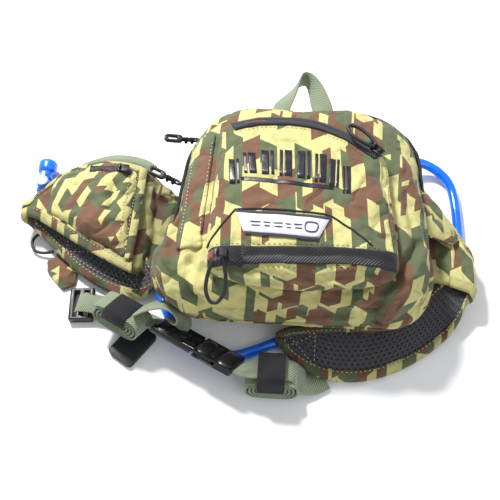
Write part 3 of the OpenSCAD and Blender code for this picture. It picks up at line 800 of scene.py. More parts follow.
# ---- drinking tube --------------------------------------------------------------------------
TUBE_Z, TUBE_R = 4.9, 4.75
TUBE = [(97.1, 82.28, 23.8), (105.8, 87, 19.6), (116, 88.6, 16.2), (126.2, 86.9, 13.3), (135.4, 82, 10.9),
        (142.7, 74.7, 8.9), (147, 66.6, 7.4), (149.3, 56.5, 6.2), (150.8, 43, 5.3)] + [(x, y, TUBE_Z) for x,
                                                                                       y in (
            (151.5, 27), (151.4, 10.5), (151, -6), (149, -23), (143, -39), (132, -54), (116, -67),
                                                                                             (97, -78),
            (76, -87), (54, -92), (32, -96), (10, -101), (-11, -109), (-31, -119), (-51, -127), (-72, -128),
            (-91, -121), (-106, -107), (-117, -88), (-125, -70), (-133, -55), (-143, -43.5), (-157, -33),
            (-174, -24), (-193, -14), (-213, -6))] + [(-230.5, -0.1, 5.3), (-239.4, 5.5, 6.2),
                                                      (-246.5, 13.4, 7.7),
                                                      (-251.1, 22.9, 9.4), (-253, 33.2, 10)]


VALVE = Vector((-253, 33.5, 10))
VALVE_WAY = Vector((cos(radians(92)), sin(radians(92)), 0))
# rows of [distance along, radius]
ELBOW_PROFILE = [(-1, 5), (-0.7, 6.2), (0.2, 6.9), (3, 7), (3.8, 6.3), (8, 6.4), (13.4, 6.6), (14.2, 7.4),
                 (16.3, 7.4),
                 (17, 6.6)]
BOSS_PROFILE = [(0, 6.2), (7.2, 6.2), (8.2, 5.8), (8.6, 5)]
GRIP_PROFILE = [(0, 5.4), (0.4, 6.2), (4.6, 6.2), (5.6, 6.8), (6.4, 8.3), (8, 8.8), (13, 9.3), (16.6, 9.5),
                (17.6, 9),
                (18, 7.6), (17, 5.4), (15.6, 2)]


def turned(name, start, along, profile, material, sides=36):
    """A turned part of the valve."""
    side = along.orthogonal().normalized()
    up = side.cross(along)
    angles = [2 * pi * k / sides for k in range(sides)]
    rings = [[start + along * x + (side * cos(a) + up * sin(a)) * r for a in angles] for x, r in profile]
    obj = solid(name, rings, material, "belt")
    for face in obj.data.polygons:
        face.use_smooth = len(face.vertices) == 4
    obj.data.set_sharp_from_angle(angle=radians(50))
    return obj


def make_tube():
    tube = rope("tube_skin", TUBE, TUBE_R, BLUE, None)
    tube.data.name = "tube_skin"
    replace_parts(tube, "drinking_tube")
    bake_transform(tube)
    elbow = turned("valve_elbow_body", VALVE, VALVE_WAY, ELBOW_PROFILE, GRIP_BLUE)
    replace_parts(elbow, "valve_elbow")
    boss = turned("valve_elbow_boss", VALVE + VALVE_WAY * 7, Vector((0, 0, 1)), BOSS_PROFILE, GRIP_BLUE)
    bite = turned("bite_valve_grip", VALVE + VALVE_WAY * 17.3, VALVE_WAY, GRIP_PROFILE, GRIP_BLUE)
    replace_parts(bite, "bite_valve")
    lever = rounded("shutoff_lever", PALE_BLUE, width=0.5, body="lever")


make_tube()


# ---- pouch ----------------------------------------------------------------------------------
def make_shell():
    profile = [(33, 7), (34.5, 3.4), (38, 1.8), (44, 1.2), (52, 1.8), (60, 3.6), (67, 6.3), (73, 10.5),
               (77.5, 17),
               (79.5, 27), (80, 42)]
    folds = [([(99, -48, 78), (77, -84, 80), (62, -108, 68), (66, -116, 46)], 4.6, 4),
             ([(104, -54, 76), (84, -92, 72), (70, -112, 52)], -3.4, 5),
             ([(90, -58, 80), (66, -88, 80), (44, -106, 72)], -2.6, 4.5),
             ([(81, -71, 82), (60, -90, 80), (30, -98, 78)], 3.4, 3.5),
             ([(112, -40, 64), (104, -75, 60), (86, -102, 52)], 3.2, 4),
             ([(70, -78, 82), (40, -94, 80), (6, -98, 80)], -1.8, 4),
             ([(96, 10, 80), (93, -20, 80), (98, -46, 78)], 1.8, 4),
             ([(88, 44, 80), (96, 14, 80), (104, -8, 76)], -1.6, 4),
             ([(-88, -68, 80), (-96, -86, 74), (-84, -106, 62)], 3.4, 4),
             ([(-108, -30, 78), (-113, -60, 74), (-106, -94, 64)], -3.4, 3.6),
             ([(-117, -36, 68), (-122, -68, 62), (-110, -102, 50)], 3.0, 4),
             ([(-104, 36, 76), (-104, 4, 77), (-107, -26, 77)], -2.2, 3.4),
             ([(-99, -74, 80), (-92, -94, 74), (-68, -112, 62)], -3.0, 3.2),
             ([(-82, -84, 80), (-66, -100, 76), (-40, -108, 70)], 2.8, 4),
             ([(-106, -48, 70), (-110, -78, 62), (-94, -104, 50)], -2.6, 5),
             ([(-112, -58, 62), (-84, -86, 74), (-49, -112, 68)], 2.4, 6),
             ([(-114, -30, 56), (-104, -76, 60), (-80, -108, 48)], -1.6, 7),
             ([(-78, -92, 78), (-50, -105, 73), (0, -110, 71), (50, -107, 72), (80, -92, 77)], -2.4, 3),
             ([(-88, -98, 62), (-52, -113, 60), (0, -117, 59), (40, -115, 60)], 2.6, 5),
             ([(-50, -112, 50), (6, -117, 48), (60, -112, 52)], -2.0, 5),
             ([(-10, -116, 40), (40, -115, 42), (86, -102, 50)], 2.2, 5),
             ([(-104, 60, 66), (-96, 20, 78)], 1.6, 5), ([(60, 98, 70), (86, 60, 76)], 1.5, 5),
             ([(-30, 108, 66), (20, 110, 68)], 1.2, 8)]
    rings = [[swollen(p) for p in ring(pouch_outline(inset), z)] for z, inset in profile]
    shell = loft("shell_cloth", rings, CAMO, "pack", turn=0.06,
                 puffed=dict(voxel=0.005, pressure=4.0, cap=0.006), folds=folds, rumple=1.6, size=34,
                 seed=2.0)
    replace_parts(shell, "main_shell", "bottom_gusset")
    return shell


def make_gusset():
    back, front = ring(back_outline(0), 0), [swollen(p) for p in ring(pouch_outline(0), 0)]
    rings = []
    for z, share, inset in ((13.4, 0.0, 6), (13.8, 0.02, 1.5), (17, 0.12, 0.2), (24, 0.45, -0.6),
                            (30, 0.75, -0.4),
                            (34, 0.95, 0.8), (35.8, 1.0, 3.5), (36.2, 1.0, 9)):
        line = [a.lerp(b, share) for a, b in zip(back, front)]
        rings.append([Vector((p.x, p.y, 0)).normalized() * (Vector((p.x, p.y, 0)).length - inset)
                      + Vector((0, 0, z)) for p in line])
    mesh = sheet_mesh(rings, close=True, cap=True)
    obj = link("gusset_cloth", mesh, CAMO)
    soften(obj, 2)
    crease(obj.data, [], 0.9, 26, 7.0)
    flat_print(obj.data, 0.3)
    smooth(obj.data)
    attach(obj, "pack")
    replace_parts(obj, "rear_gusset")


ZIP_RISE, ZIP_LEVEL, ZIP_POINTS = 17, 40, 260


def make_main_zip(shell):
    """The zip runs round the pouch's side and climbs on its right shoulder."""
    line = [swollen(Vector((p.x, p.y, 0))) for p in even(pouch_outline(0), ZIP_POINTS, closed=True)]
    start = min(range(ZIP_POINTS), key=lambda i: (line[i].x < 0, abs(line[i].y + 30)))
    line = line[start:] + line[:start]
    path = [p for p in line if p.y > -31]
    surface = Surface(shell)
    stations = []
    for p, q, r in zip(path, path[1:], path[2:]):
        out = Vector(((r - p).y, -(r - p).x, 0)).normalized()
        share = min(1.0, max(0.0, (q.y + 10) / 60)) * min(1.0, max(0.0, (q.x - 5) / 50))
        z = ZIP_LEVEL + ZIP_RISE * share * share * (3 - 2 * share)
        hit, _ = surface.under(q.x + out.x * 15, q.y + out.y * 15, way=tuple(-out), start=z) or (q, 0)
        reach = (Vector((hit.x, hit.y, 0)) - Vector((q.x, q.y, 0))).dot(out)
        reach = max(reach, -14 * share)
        stations.append((Vector((q.x, q.y, z)) + out * (reach + 0.7), (0, 0, 1), out))
    tape = ribbon("main_zip_tape", stations, 7.6, 1.3, ZIP, "pack", bow=0.4)
    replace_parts(tape, "main_zip")
    rim = [s[0] + Vector((0, 0, 4.2)) + Vector(s[2]) * 0.4 for s in stations]
    rope("main_zip_piping", even(rim, 120), 1.3, BLACK_CLOTH, "pack", steps=1)
    low = [s[0] - Vector((0, 0, 4.2)) + Vector(s[2]) * 0.2 for s in stations]
    rope("main_zip_lower_piping", even(low, 120), 1.1, CAMO_TAPE, "pack", steps=1)


def make_pocket():
    profile = [(78.5, 6), (80.3, 2.6), (85, 1.8), (90, 2.2), (95, 4), (98.6, 7.5), (100.6, 13), (101.4, 22),
               (101.8, 38)]
    rings = []
    for z, inset in profile:
        r = ring(pocket_outline(inset), z)
        # the front slopes down below the lower zip's line
        rings.append([Vector((p.x, p.y, z - max(0, (-88 - p.y)) * max(0, z - 80) / 21 * 0.55)) for p in r])
    folds = [([(72, 24, 101), (74, -19, 101), (78, -66, 99)], 1.6, 2.6),
             ([(43, -29, 102), (56, -49, 102), (66, -66, 101)], 1.5, 4),
             ([(60, 19, 102), (50, 4, 102), (44, -14, 102)], -1.4, 5),
             ([(40, 30, 102), (56, 12, 102), (70, -4, 102)], 1.3, 4),
             ([(-72, -40, 100), (-40, -24, 102), (0, -22, 102)], 0.9, 6),
             ([(-70, 30, 100), (-58, 0, 102), (-66, -30, 101)], 1.0, 5),
             ([(-62, -94, 98), (-30, -98, 98), (0, -104, 96), (40, -99, 98), (70, -90, 98)], 2.0, 4.5),
             ([(-10, -92, 100), (6, -100, 98), (14, -110, 90)], 1.6, 4),
             ([(30, -92, 100), (36, -100, 97), (30, -108, 90)], -1.2, 4),
             ([(52, -92, 100), (62, -100, 95)], 1.8, 4), ([(-50, -92, 99), (-40, -104, 94)], 1.4, 4),
             ([(-78, -76, 97), (-70, -92, 94)], 1.5, 4)]
    pocket = loft("pocket_cloth", rings, CAMO, "pack", turn=-0.05,
                  puffed=dict(voxel=0.0045, pressure=4.0, cap=0.005), folds=folds, rumple=1.1, size=26,
                  seed=9.0)
    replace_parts(pocket, "front_pocket")
    rings = [ring(pocket_outline(inset), z) for z, inset in ((82.2, 40), (82.0, 14), (82.6, 11), (83.2, 14),
                                                             (83.4, 40))]
    divider = loft("divider_cloth", rings, INNER_CLOTH, "pack", rumple=0.5, size=22, seed=10.0)
    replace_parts(divider, "pocket_divider")
    return pocket


shell = make_shell()
make_gusset()
make_main_zip(shell)
pocket = make_pocket()
on_shell, on_pocket = Surface(shell), Surface(pocket)

# ---- front pocket: zips, piping, patch, print ------------------------------------------------
LOW_ZIP_Y, LOW_ZIP_HALF = -83, 76


def make_pocket_trim():
    curve = [zip_arc(43 + 71 * i / 60, ZIP_R - 13) for i in range(61)]
    tape = laid_strip("top_zip_tape", on_pocket, curve, 11.0, 1.1, ZIP, "pack")
    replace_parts(tape, "top_zip")
    low = [(-LOW_ZIP_HALF + 2 * LOW_ZIP_HALF * i / 96, LOW_ZIP_Y + 4.5 * i / 96) for i in range(97)]
    band = laid_strip("lower_zip_tape", on_pocket, low, 13.5, 1.1, ZIP, "pack", columns=11)
    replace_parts(band, "lower_zip")
    thread = Stitches()
    for r in (ZIP_R - 5, ZIP_R - 21):
        thread.row(on_pocket.lay([zip_arc(44 + 69 * i / 40, r) for i in range(41)], 0.3), 2.2, 1.6, 0.3)
    for y in (LOW_ZIP_Y + 9, LOW_ZIP_Y - 9):
        thread.row(on_pocket.lay([(-74 + 150 * i / 30, y + 4.5 * i / 30) for i in range(31)], 0.3), 2.4,
                   1.8, 0.32)
    thread.row(on_pocket.lay([(70, 22), (72, -19), (75.5, -70)], 0.3), 2.2, 1.8, 0.3)
    thread.done("pocket_stitches", DARK_THREAD, "pack", "camo_fabric")
    piping = [(-78, -72), (-57, -40), (-40, -39), (0, -41), (22, -43), (40, -55), (56, -68)]
    rope("pocket_piping", on_pocket.lay(even([(*p, 0) for p in piping], 60), 0.3), 0.9, BLACK_CLOTH, "pack",
         steps=1)
    lining = [(-76 + 7 * i / 4, LOW_ZIP_Y + 1) for i in range(5)]
    laid_strip("lower_lining", on_pocket, lining, 7, 0.5, LINING_WITH_PAINTED_SHADE, "pack", lift=1.0)
    lining = [zip_arc(108 - 9 * i / 8, ZIP_R - 14) for i in range(9)]
    laid_strip("top_lining", on_pocket, lining, 1.5, 0.5, LINING_WITH_PAINTED_SHADE, "pack", lift=1.0, columns=3)


def laid_patch(name, corners, lift, thick, material, cells=14):
    """A four-cornered piece of cloth or print laid on the pocket; corners run round from top left."""
    tl, tr, br, bl = (Vector((*c, 0)) for c in corners)
    rows_top, rows_low = [], []
    for i in range(cells + 1):
        a, b = tl.lerp(tr, i / cells), bl.lerp(br, i / cells)
        line = [b.lerp(a, j / 5) for j in range(6)]
        hits = [on_pocket.near(p.x, p.y, lift) for p in line]
        rows_top.append([h + n * thick for h, n in hits])
        rows_low.append([h - n * 0.1 for h, n in hits][::-1])
    rows = [t + b for t, b in zip(rows_top, rows_low)]
    return solid(name, rows, material, "pack")


def make_patch():
    whole = [(-56, -43.5), (21, -47.5), (12.5, -67), (-48.5, -63)]
    patch = laid_patch("patch_cloth", whole, 0.5, 0.8, PATCH)
    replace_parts(patch, "name_patch")
    laid_patch("patch_top_border", [(-57, -41.5), (22, -45.5), (21, -47.8), (-56, -43.8)], 0.8, 0.9, BORDER)
    laid_patch("patch_low_border", [(-48.7, -62.2), (12.8, -66.2), (11.8, -68.6), (-47.7, -64.8)], 0.8, 0.9,
               BORDER)
    # a plain mark: bars of falling length and a small open square
    for i, (x, w) in enumerate(((-44, 9), (-33, 6), (-25, 8), (-15, 5), (-8, 7))):
        y = -52.3 - 0.055 * (x + 44)
        laid_patch(f"patch_bar_{i}", [(x, y), (x + w, y - 0.4), (x + w - 0.6, y - 1.6), (x + 0.4, y - 1.2)],
                   1.4,
                   0.12, BORDER, 4)
        laid_patch(f"patch_bar_low_{i}", [(x + 1, y - 3.4), (x + w, y - 3.8), (x + w - 0.6, y - 5),
                                          (x + 1.4, y - 4.6)],
                   1.4, 0.12, BORDER, 4)
    square = [(2, -52.8), (11, -53.4), (9.6, -60.6), (2, -60)]
    rope("patch_square", on_pocket.lay(square, 1.9), 0.5, BORDER, "pack", closed=True, steps=6)


def make_print():
    """A plain graphic of slanted blocks over a long bar."""
    tops = [(-67, 15), (-55, 21), (-39, 24), (-23, 25.5), (-7, 25.2), (8, 22.5), (21, 17.5), (32, 11)]
    lows = [(-64, -12), (-52, -2), (-37, -3), (-22, -4.2), (-6.5, -6), (8, -9), (20, -13), (32, -19)]
    widths = (9, 11, 11, 11, 11, 10, 8.5, 7)
    for i, (top, low, w) in enumerate(zip(tops, lows, widths)):
        # each mark is a broad leaning block with a thin one beside it, on alternate sides
        for k, (t0, t1) in enumerate((((0, 0.58), (0.72, 0.98)), ((0, 0.26), (0.4, 0.98)))[i % 2]):
            laid_patch(f"print_block_{i}_{k}", [(top[0] + w * t0, top[1]), (top[0] + w * t1, top[1] - 0.5),
                                                (low[0] + w * t1, low[1] - 0.5), (low[0] + w * t0, low[1])],
                       0.25, 0.14, INK, 5)
    laid_patch("print_bar", [(-55, -5.8), (24, -12.2), (24, -16.4), (-54, -9.8)], 0.25, 0.12, INK,
               20)


make_pocket_trim()
make_patch()
make_print()


def make_side_band():
    """The stitched band on the shell's left shoulder."""
    line = [(-93, 58), (-93, 48), (-93.5, 30), (-94, 10), (-94.5, -12), (-95, -34), (-95.5, -54),
            (-94, -66)]
    band = laid_strip("side_band_cloth", on_shell, even([(*p, 0) for p in line], 40), 21, 1.4, CAMO, "pack",
                      lift=0.3, columns=9)
    flat_print(band.data, 0.06)
    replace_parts(band, "side_band")
    laid = Surface(band)
    thread = Stitches()
    for shift in (-7.6, 8.4):
        row = [(p[0] + shift, p[1]) for p in line[1:7]]
        hits = [laid.under(x, y, 0.3) for x, y in row]
        thread.row([h[0] for h in hits if h], 2.6, 1.5, 0.42)
    thread.done("side_band_stitches", THREAD, "pack", "camo_fabric")


make_side_band()


# ---- belt wings -----------------------------------------------------------------------------
# each row is [x, z low edge, z high edge, y low, y high, normal x, normal z]
LEFT_ROWS = [
    (-150.3, 28, 28, -62, 55, 0, 1), (-162, 29, 29, -57, 58, 0, 1), (-180, 29, 29, -48, 61, 0, 1),
    (-205, 29, 29, -34, 57, 0, 1), (-230, 29, 29, -19, 44, 0, 1), (-248, 29, 29, -9, 22, 0, 1),
    (-256, 29, 29, -8, 11, 0, 1), (-259.9, 27.4, 27.4, -8, 9, -0.7, 0.7), (-261.5, 23.5, 23.5, -8, 8, -1,
                                                                           0),
    (-259.9, 19.6, 19.6, -9, 8, -0.7, -0.7), (-256, 18, 18, -10, 8, 0, -1), (-242, 13, 20, -20, 14, 0, -1),
    (-222, 11, 20, -38, 14, 0, -1), (-200, 9, 20, -56, 10, 0, -1), (-178, 6.5, 20, -68, -4, 0, -1),
    (-155, 6, 19, -76, -22, 0, -1), (-141, 7, 17, -75, -38, 0, -1), (-133, 9, 15, -70, -48, 0, -1),
    (-129, 11, 12, -62, -57, 0, -1)]
RIGHT_ROWS = [
    (134.3, 28, 28, -58, 16, 0, 1), (142, 29, 29, -61, 4, 0, 1), (150, 29, 29, -64, -12, 0, 1),
    (153.2, 27.6, 27.6, -66, -18, 0.7, 0.7), (154.5, 24.3, 24.3, -68, -22, 1, 0),
    (153.2, 21, 21, -70, -24, 0.7, -0.7), (150, 19.6, 19.6, -72, -26, 0, -1), (140, 12, 18.6, -92, -36, 0,
                                                                               -1),
    (124, 6, 17, -108, -52, 0, -1), (100, 4.6, 15, -126, -78, 0, -1), (74, 4.6, 14, -139, -92, 0, -1),
    (48, 5, 15, -145, -95, 0, -1), (22, 8, 17, -144, -98, 0, -1), (2, 9, 17, -134, -101, 0, -1),
    (-11, 12, 16, -122, -105, 0, -1), (-18, 14, 15, -114, -109, 0, -1)]
HALF_THICK, SKIN_GAP = 4.2, 0.35
BINDING_WIDTH, STITCH_INSET = 8.5, 6.6


class Wing:
    """A padded band through rows; s runs from -1 at the low edge to 1 at the high edge."""

    def __init__(self, rows, steps=4):
        rows = spline(rows, steps)
        self.stations = []
        for x, z0, z1, y0, y1, nx, nz in rows:
            half = Vector((0, (y1 - y0) / 2, (z1 - z0) / 2))
            out = Vector((nx, 0, nz))
            out = (out - half * out.dot(half) / half.length_squared).normalized()
            self.stations.append((Vector((x, (y0 + y1) / 2, (z0 + z1) / 2)), half, out))

    def at(self, k, s, side, lift=0.0):
        """A point on the outer (side 1) or inner (side -1) skin at station k, which may be a fraction."""
        i = min(int(k), len(self.stations) - 2)
        t = k - i
        c, h, n = (a.lerp(b, t) for a, b in zip(self.stations[i], self.stations[i + 1]))
        full = max(0.0, 1 - abs(s) ** 3.2) ** 0.5
        rise = SKIN_GAP + (HALF_THICK - SKIN_GAP) * full * min(1, h.length / 14) + lift
        return c + h * s + n * side * rise

    def skin(self, name, side, material, slot, rumple, seed, size=24):
        """One side's skin, closed along the band's middle."""
        rows = []
        for k in range(len(self.stations)):
            top = [self.at(k, -1 + j / 8, side) for j in range(17)]
            rows.append(top + [self.at(k, 1 - j / 2, 0) for j in range(1, 4)])
        obj = solid(name, rows, material)
        soften(obj)
        crease(obj.data, (), rumple, size, seed)
        smooth(obj.data)
        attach(obj, "belt")
        return obj

    def binding(self, name):
        """The tape folded over both edges."""
        for edge, label in ((-1, "low"), (1, "high")):
            rows = []
            for k, (c, h, _) in enumerate(self.stations):
                size = max(h.length, 0.1)
                reach = min(BINDING_WIDTH / size, 0.85)
                inner = [edge * (1 - reach), edge * (1 - reach * 0.5), edge * (1 - reach * 0.12)]
                outside = [self.at(k, s, 1, 0.7) for s in inner]
                inside = [self.at(k, s, -1, 0.7) for s in inner]
                rim = c + h * edge * (1 + 1.3 / size)
                low = [self.at(k, s, 1, -0.3) for s in inner]
                low_in = [self.at(k, s, -1, -0.3) for s in inner]
                rows.append(outside + [rim] + inside[::-1] + low_in + low[::-1])
            solid(f"{name}_binding_{label}", rows, CAMO_TAPE, "belt")

    def stitch(self, thread, edge, side):
        """A row of stitches through the binding, left out where the band is too narrow."""
        line = []
        for k, (_, half, _) in enumerate(self.stations):
            if half.length > STITCH_INSET * 1.6:
                line.append(self.at(k, edge * (1 - STITCH_INSET / half.length), side, 1.0))
        thread.row(even(line, max(8, len(line) * 2)), 2.4, 1.6, 0.36)


def box_and_cross(thread, wing, corners, side):
    """A box stitched on a wing with a cross in it; corners are (station, s)."""
    pts = [Vector((*c, 0)) for c in corners]
    loops = [(pts[i], pts[(i + 1) % 4]) for i in range(4)] + [(pts[0], pts[2]), (pts[1], pts[3])]
    for a, b in loops:
        line = [a.lerp(b, i / 8) for i in range(9)]
        thread.row([wing.at(p.x, p.y, side, 0.5) for p in line], 2.2, 1.5, 0.34)


left_wing, right_wing = Wing(LEFT_ROWS), Wing(RIGHT_ROWS)


def make_wings():
    for name, wing, seed in (("left", left_wing, 3.0), ("right", right_wing, 13.0)):
        face = wing.skin(f"{name}_wing_cloth", 1, CAMO, "camo_fabric", rumple=1.1, seed=seed)
        pad = wing.skin(f"{name}_wing_pad", -1, MESH, "mesh", rumple=0.9, size=30, seed=seed + 2)
        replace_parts(face, f"{name}_wing_shell")
        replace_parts(pad, f"{name}_wing_mesh", f"{name}_wing_foam", f"{name}_wing_binding")
        wing.binding(name)
    thread = Stitches()
    for wing in (left_wing, right_wing):
        for edge in (-1, 1):
            for side in (-1, 1):
                wing.stitch(thread, edge, side)
    box_and_cross(thread, left_wing, [(49, -0.72), (49, 0.7), (62, 0.7), (62, -0.6)], -1)
    box_and_cross(thread, right_wing, [(49, -0.7), (49, 0.6), (55.5, 0.55), (55.5, -0.5)], -1)
    thread.done("wing_stitches", THREAD, "belt", "camo_lining")


def make_root(name, rows, node, material, folds):
    """The soft join between the pouch's side and a wing."""
    stations = Wing(rows, 6)
    ring_rows = []
    for k in range(len(stations.stations)):
        top = [stations.at(k, -1 + 2 * j / 14, 1) for j in range(15)]
        low = [stations.at(k, 1 - 2 * j / 14, -1) for j in range(1, 14)]
        ring_rows.append(top + low)
    obj = solid(name, ring_rows, material)
    crease(obj.data, folds, 1.8, 20, 4.0)
    smooth(obj.data)
    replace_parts(obj, node)
    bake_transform(obj)


def make_flap():
    rows = []
    for x, y, half, z, tilt in ((104, 6, 28, 55, 4), (112, 3, 26, 53, 4), (120, -1, 22, 49, 3),
                                (129, -6, 17, 44.5, 2.5),
                                (137, -11, 11, 40, 2), (143, -13, 5, 36.5, 1)):
        bow = [(1 - (s * s)) * tilt for s in (-1, -0.6, -0.2, 0.2, 0.6, 1)]
        line = [Vector((x, y + half * s, z + b)) for s, b in zip((-1, -0.6, -0.2, 0.2, 0.6, 1), bow)]
        rows.append(line + [p - Vector((0.6, 0, 1.7)) for p in line[::-1]])
    obj = solid("right_flap_cloth", rows, CAMO)
    soften(obj, 2)
    crease(obj.data, [([(106, 10, 56), (126, -2, 48), (142, -12, 38)], 1.4, 3)], 0.8, 16, 6.0)
    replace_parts(obj, "right_flap")
    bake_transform(obj)


make_wings()
make_root("left_root_cloth", [(-155, 29, 29, -62, 57, 0, 1), (-150, 27, 28, -62, 55, 0, 1),
                              (-143, 20, 22, -61, 50, 0, 1), (-134, 13, 17, -60, 44, 0, 1),
                              (-125, 13, 18, -57, 36, 0, 1), (-117, 13, 19, -52, 28, 0, 1),
                              (-108, 18, 22, -44, 20, 0, 1)], "left_root",
          # the left root is covered in the darker camo copy, painted shade for its hollow
          CAMO_PAINTED_SHADE,
          [([(-121, -54, 24), (-117, -14, 26), (-116, 20, 26)], 4.0, 3.2),
           ([(-129, -58, 22), (-126, -20, 24), (-122, 24, 24)], -2.8, 3.2),
           ([(-138, -60, 22), (-134, -22, 22), (-136, 34, 24)], 3.2, 3.6),
           ([(-112, -46, 24), (-111, 10, 26)], -2.0, 3.0)])
make_root("right_root_cloth", [(110, 21, 22, -44, 22, 0, 1), (118, 23, 24, -50, 22, 0, 1),
                               (126, 25, 26, -55, 20, 0, 1),
                               (134, 28, 28, -58, 16, 0, 1), (138, 28.5, 28.5, -59, 10, 0, 1)],
          "right_root", CAMO,
          [([(112, -34, 25), (124, -40, 27), (136, -48, 30)], 3.0, 3.5),
           ([(112, -16, 25), (126, -20, 28), (136, -26, 30)], -2.2, 4),
           ([(112, 2, 25), (126, 0, 28), (136, -6, 30)], 2.4, 3.5)])
make_flap()


# ---- zipped pocket on the left wing ---------------------------------------------------------
def make_wing_pocket():
    rows = []
    for x, y0, y1, high in ((-156, -51, 49, 37), (-160, -50, 51, 42.5), (-168, -46, 55, 45.5),
                            (-180, -40, 57, 45.5),
                            (-192, -34, 56, 44.5), (-205, -26, 52, 43.5), (-218, -18, 45, 41.5),
                            (-230, -11, 37, 38.5),
                            (-237, -7, 31, 35), (-240, -5, 28, 33)):
        line = []
        for j in range(15):
            s = -1 + j / 7
            line.append(Vector((x, (y0 + y1) / 2 + (y1 - y0) / 2 * s, 31.5
                                + (high - 31.5) * (1 - s ** 4) ** 0.5)))
        rows.append(line + [Vector((x, (y0 + y1) / 2 + (y1 - y0) / 2 * s, 30.5)) for s in (0.9, 0.45, 0,
                                                                                           -0.45, -0.9)])
    obj = solid("wing_pocket_cloth", rows, CAMO)
    puff(obj, voxel=0.0045, pressure=4.0, cap=0.005)
    crease(obj.data, [([(-160, 44, 42), (-176, 10, 45), (-168, -30, 42)], 1.8, 4),
                      ([(-160, 10, 42), (-190, 4, 45), (-214, -6, 42)], 1.5, 4),
                      ([(-200, 40, 44), (-212, 14, 43), (-222, -6, 40)], 1.5, 4),
                      ([(-190, 34, 45), (-186, -8, 45), (-196, -24, 42)], -1.2, 5),
                      ([(-160, -20, 41), (-182, -26, 43)], 1.3, 3.5),
                      ([(-210, 42, 44), (-196, 41.5, 46), (-184, 41, 46)], 3.0, 7)], 1.3, 24, 21.0)
    flat_print(obj.data, 0.42)
    smooth(obj.data)
    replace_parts(obj, "wing_pocket")
    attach(obj, "belt")
    return obj


def strip_on(name, surface, line, width, thick, material, body, lift=0.2):
    return laid_strip(name, surface, [(*p[:2], 0) for p in even([(*p, 0) for p in line], 24)], width, thick,
                      material,
                      body, lift)


def make_wing_pocket_trim(pocket_piece):
    top = Surface(pocket_piece)
    line = [(-203, 42.5), (-192, 41.8), (-178, 40.6), (-163, 39.5)]
    tape = strip_on("wing_zip_tape", top, line, 6.5, 1.0, ZIP, "belt")
    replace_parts(tape, "wing_zip")
    strip_on("wing_zip_lining", top, [(-190, 38.6), (-166, 36.6)], 1.6, 0.6, LINING_WITH_PAINTED_SHADE, "belt",
             0.4)
    thread = Stitches()
    for x in (-157.5, -163.5):
        thread.row(top.lay([(x, 44 - 92 * i / 20) for i in range(21)], 0.5), 2.4, 1.6, 0.36)
    thread.row(top.lay([(-204, 37), (-190, 36), (-166, 34)], 0.4), 2.2, 1.6, 0.3)
    thread.done("wing_pocket_stitches", THREAD, "belt", "camo_fabric")
    # the seam strip down the pocket's right edge
    edge = [(-153, 50, 34.5), (-152.5, 30, 36.5), (-152.5, 0, 37.5), (-153, -30, 36.5), (-154, -52, 33.5)]
    seam = ribbon("wing_seam_strip", [(Vector(p), (1, 0, -0.35), (0.35, 0, 1)) for p in spline(edge, 6)],
                  7.5, 1.2, CAMO_TAPE,
                  "belt", bow=0.6)
    flat_print(seam.data, 0.2, (0.013, 0.0))
    strap = [(-214, 53, 27), (-200, 60, 28), (-185, 64.5, 29), (-168, 64, 29.5), (-154, 60, 30),
             (-144, 54, 29)]
    ribbon("wing_compression_strap", along_line(spline(strap, 5), 12), 10, 1.6, WEBBING, "belt")


make_wing_pocket_trim(make_wing_pocket())


def make_small_cloth():
    outline = even([(-228, -22, 0), (-229, -38, 0), (-236, -41, 0), (-234, -52, 0), (-216, -71, 0),
                    (-205, -64, 0),
                    (-206, -42, 0), (-214, -28, 0)], 40, closed=True)
    centre = sum(outline, Vector()) / len(outline)
    rings = [[centre + (p - centre) * f + Vector((0, 0, z)) for p in outline]
             for f, z in ((0.94, 0.3), (1.0, 1.6), (0.99, 3.6), (0.9, 5.0), (0.5, 5.4))]
    obj = solid("underflap_cloth", rings, CAMO)
    crease(obj.data, [([(-236, -40, 5), (-210, -50, 5)], 1.0, 2.5)], 0.5, 14, 2.0)
    flat_print(obj.data, 0.9)
    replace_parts(obj, "left_underflap")
    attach(obj, "belt")
    loop = [(-231, -10, 9), (-241, -9.5, 6.5), (-250, -13, 5), (-254, -21, 4.5), (-250, -30, 4.5),
            (-241, -33, 5),
            (-231, -32, 7)]
    cord = rope("elastic_loop", loop, 1.5, RUBBER, "belt")
    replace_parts(cord, "cord_loop")


make_small_cloth()


# ---- webbing --------------------------------------------------------------------------------
BUCKLE = Vector((-84.5, -128.5, 24.4))
BUCKLE_X = Vector((cos(radians(-27.5)), sin(radians(-27.5)), 0))
BUCKLE_Y = Vector((0.354, 0.679, -0.643))
BUCKLE_Z = BUCKLE_X.cross(BUCKLE_Y)


STRAP_WIDTH, KEEPER_WIDTH, TURN_STEPS = 25, 23, 26


def roll_frame(turn, tip):
    a, b = radians(turn), radians(tip)
    x = Vector((cos(a), sin(a), 0))
    y = Vector((-sin(a) * cos(b), cos(a) * cos(b), sin(b)))
    return x, y, x.cross(y)


def make_roll(name, at, axes, half, radius, turns, body, node):
    """A strap end wound into a flat spiral; the roll's axis is the second of the axes."""
    x, y, z = axes
    middle = Vector(at) + y * 12.5
    pts = []
    count = int(turns * TURN_STEPS)
    for i in range(count + 1):
        a = 2 * pi * i / TURN_STEPS
        r = 1.8 + (radius - 1.8) * i / count
        lean = np.tanh(3 * cos(a)) / np.tanh(3)
        pts.append(middle + x * (half * lean * (0.55 + 0.45 * i / count) + r * cos(a)) + z * (r * sin(a)))
    stations = []
    for i, p in enumerate(pts):
        t = heading(pts, i)
        stations.append((p, y, y.cross(t)))
    roll = ribbon(name, stations, STRAP_WIDTH, 1.7, WEBBING, body)
    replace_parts(roll, node)


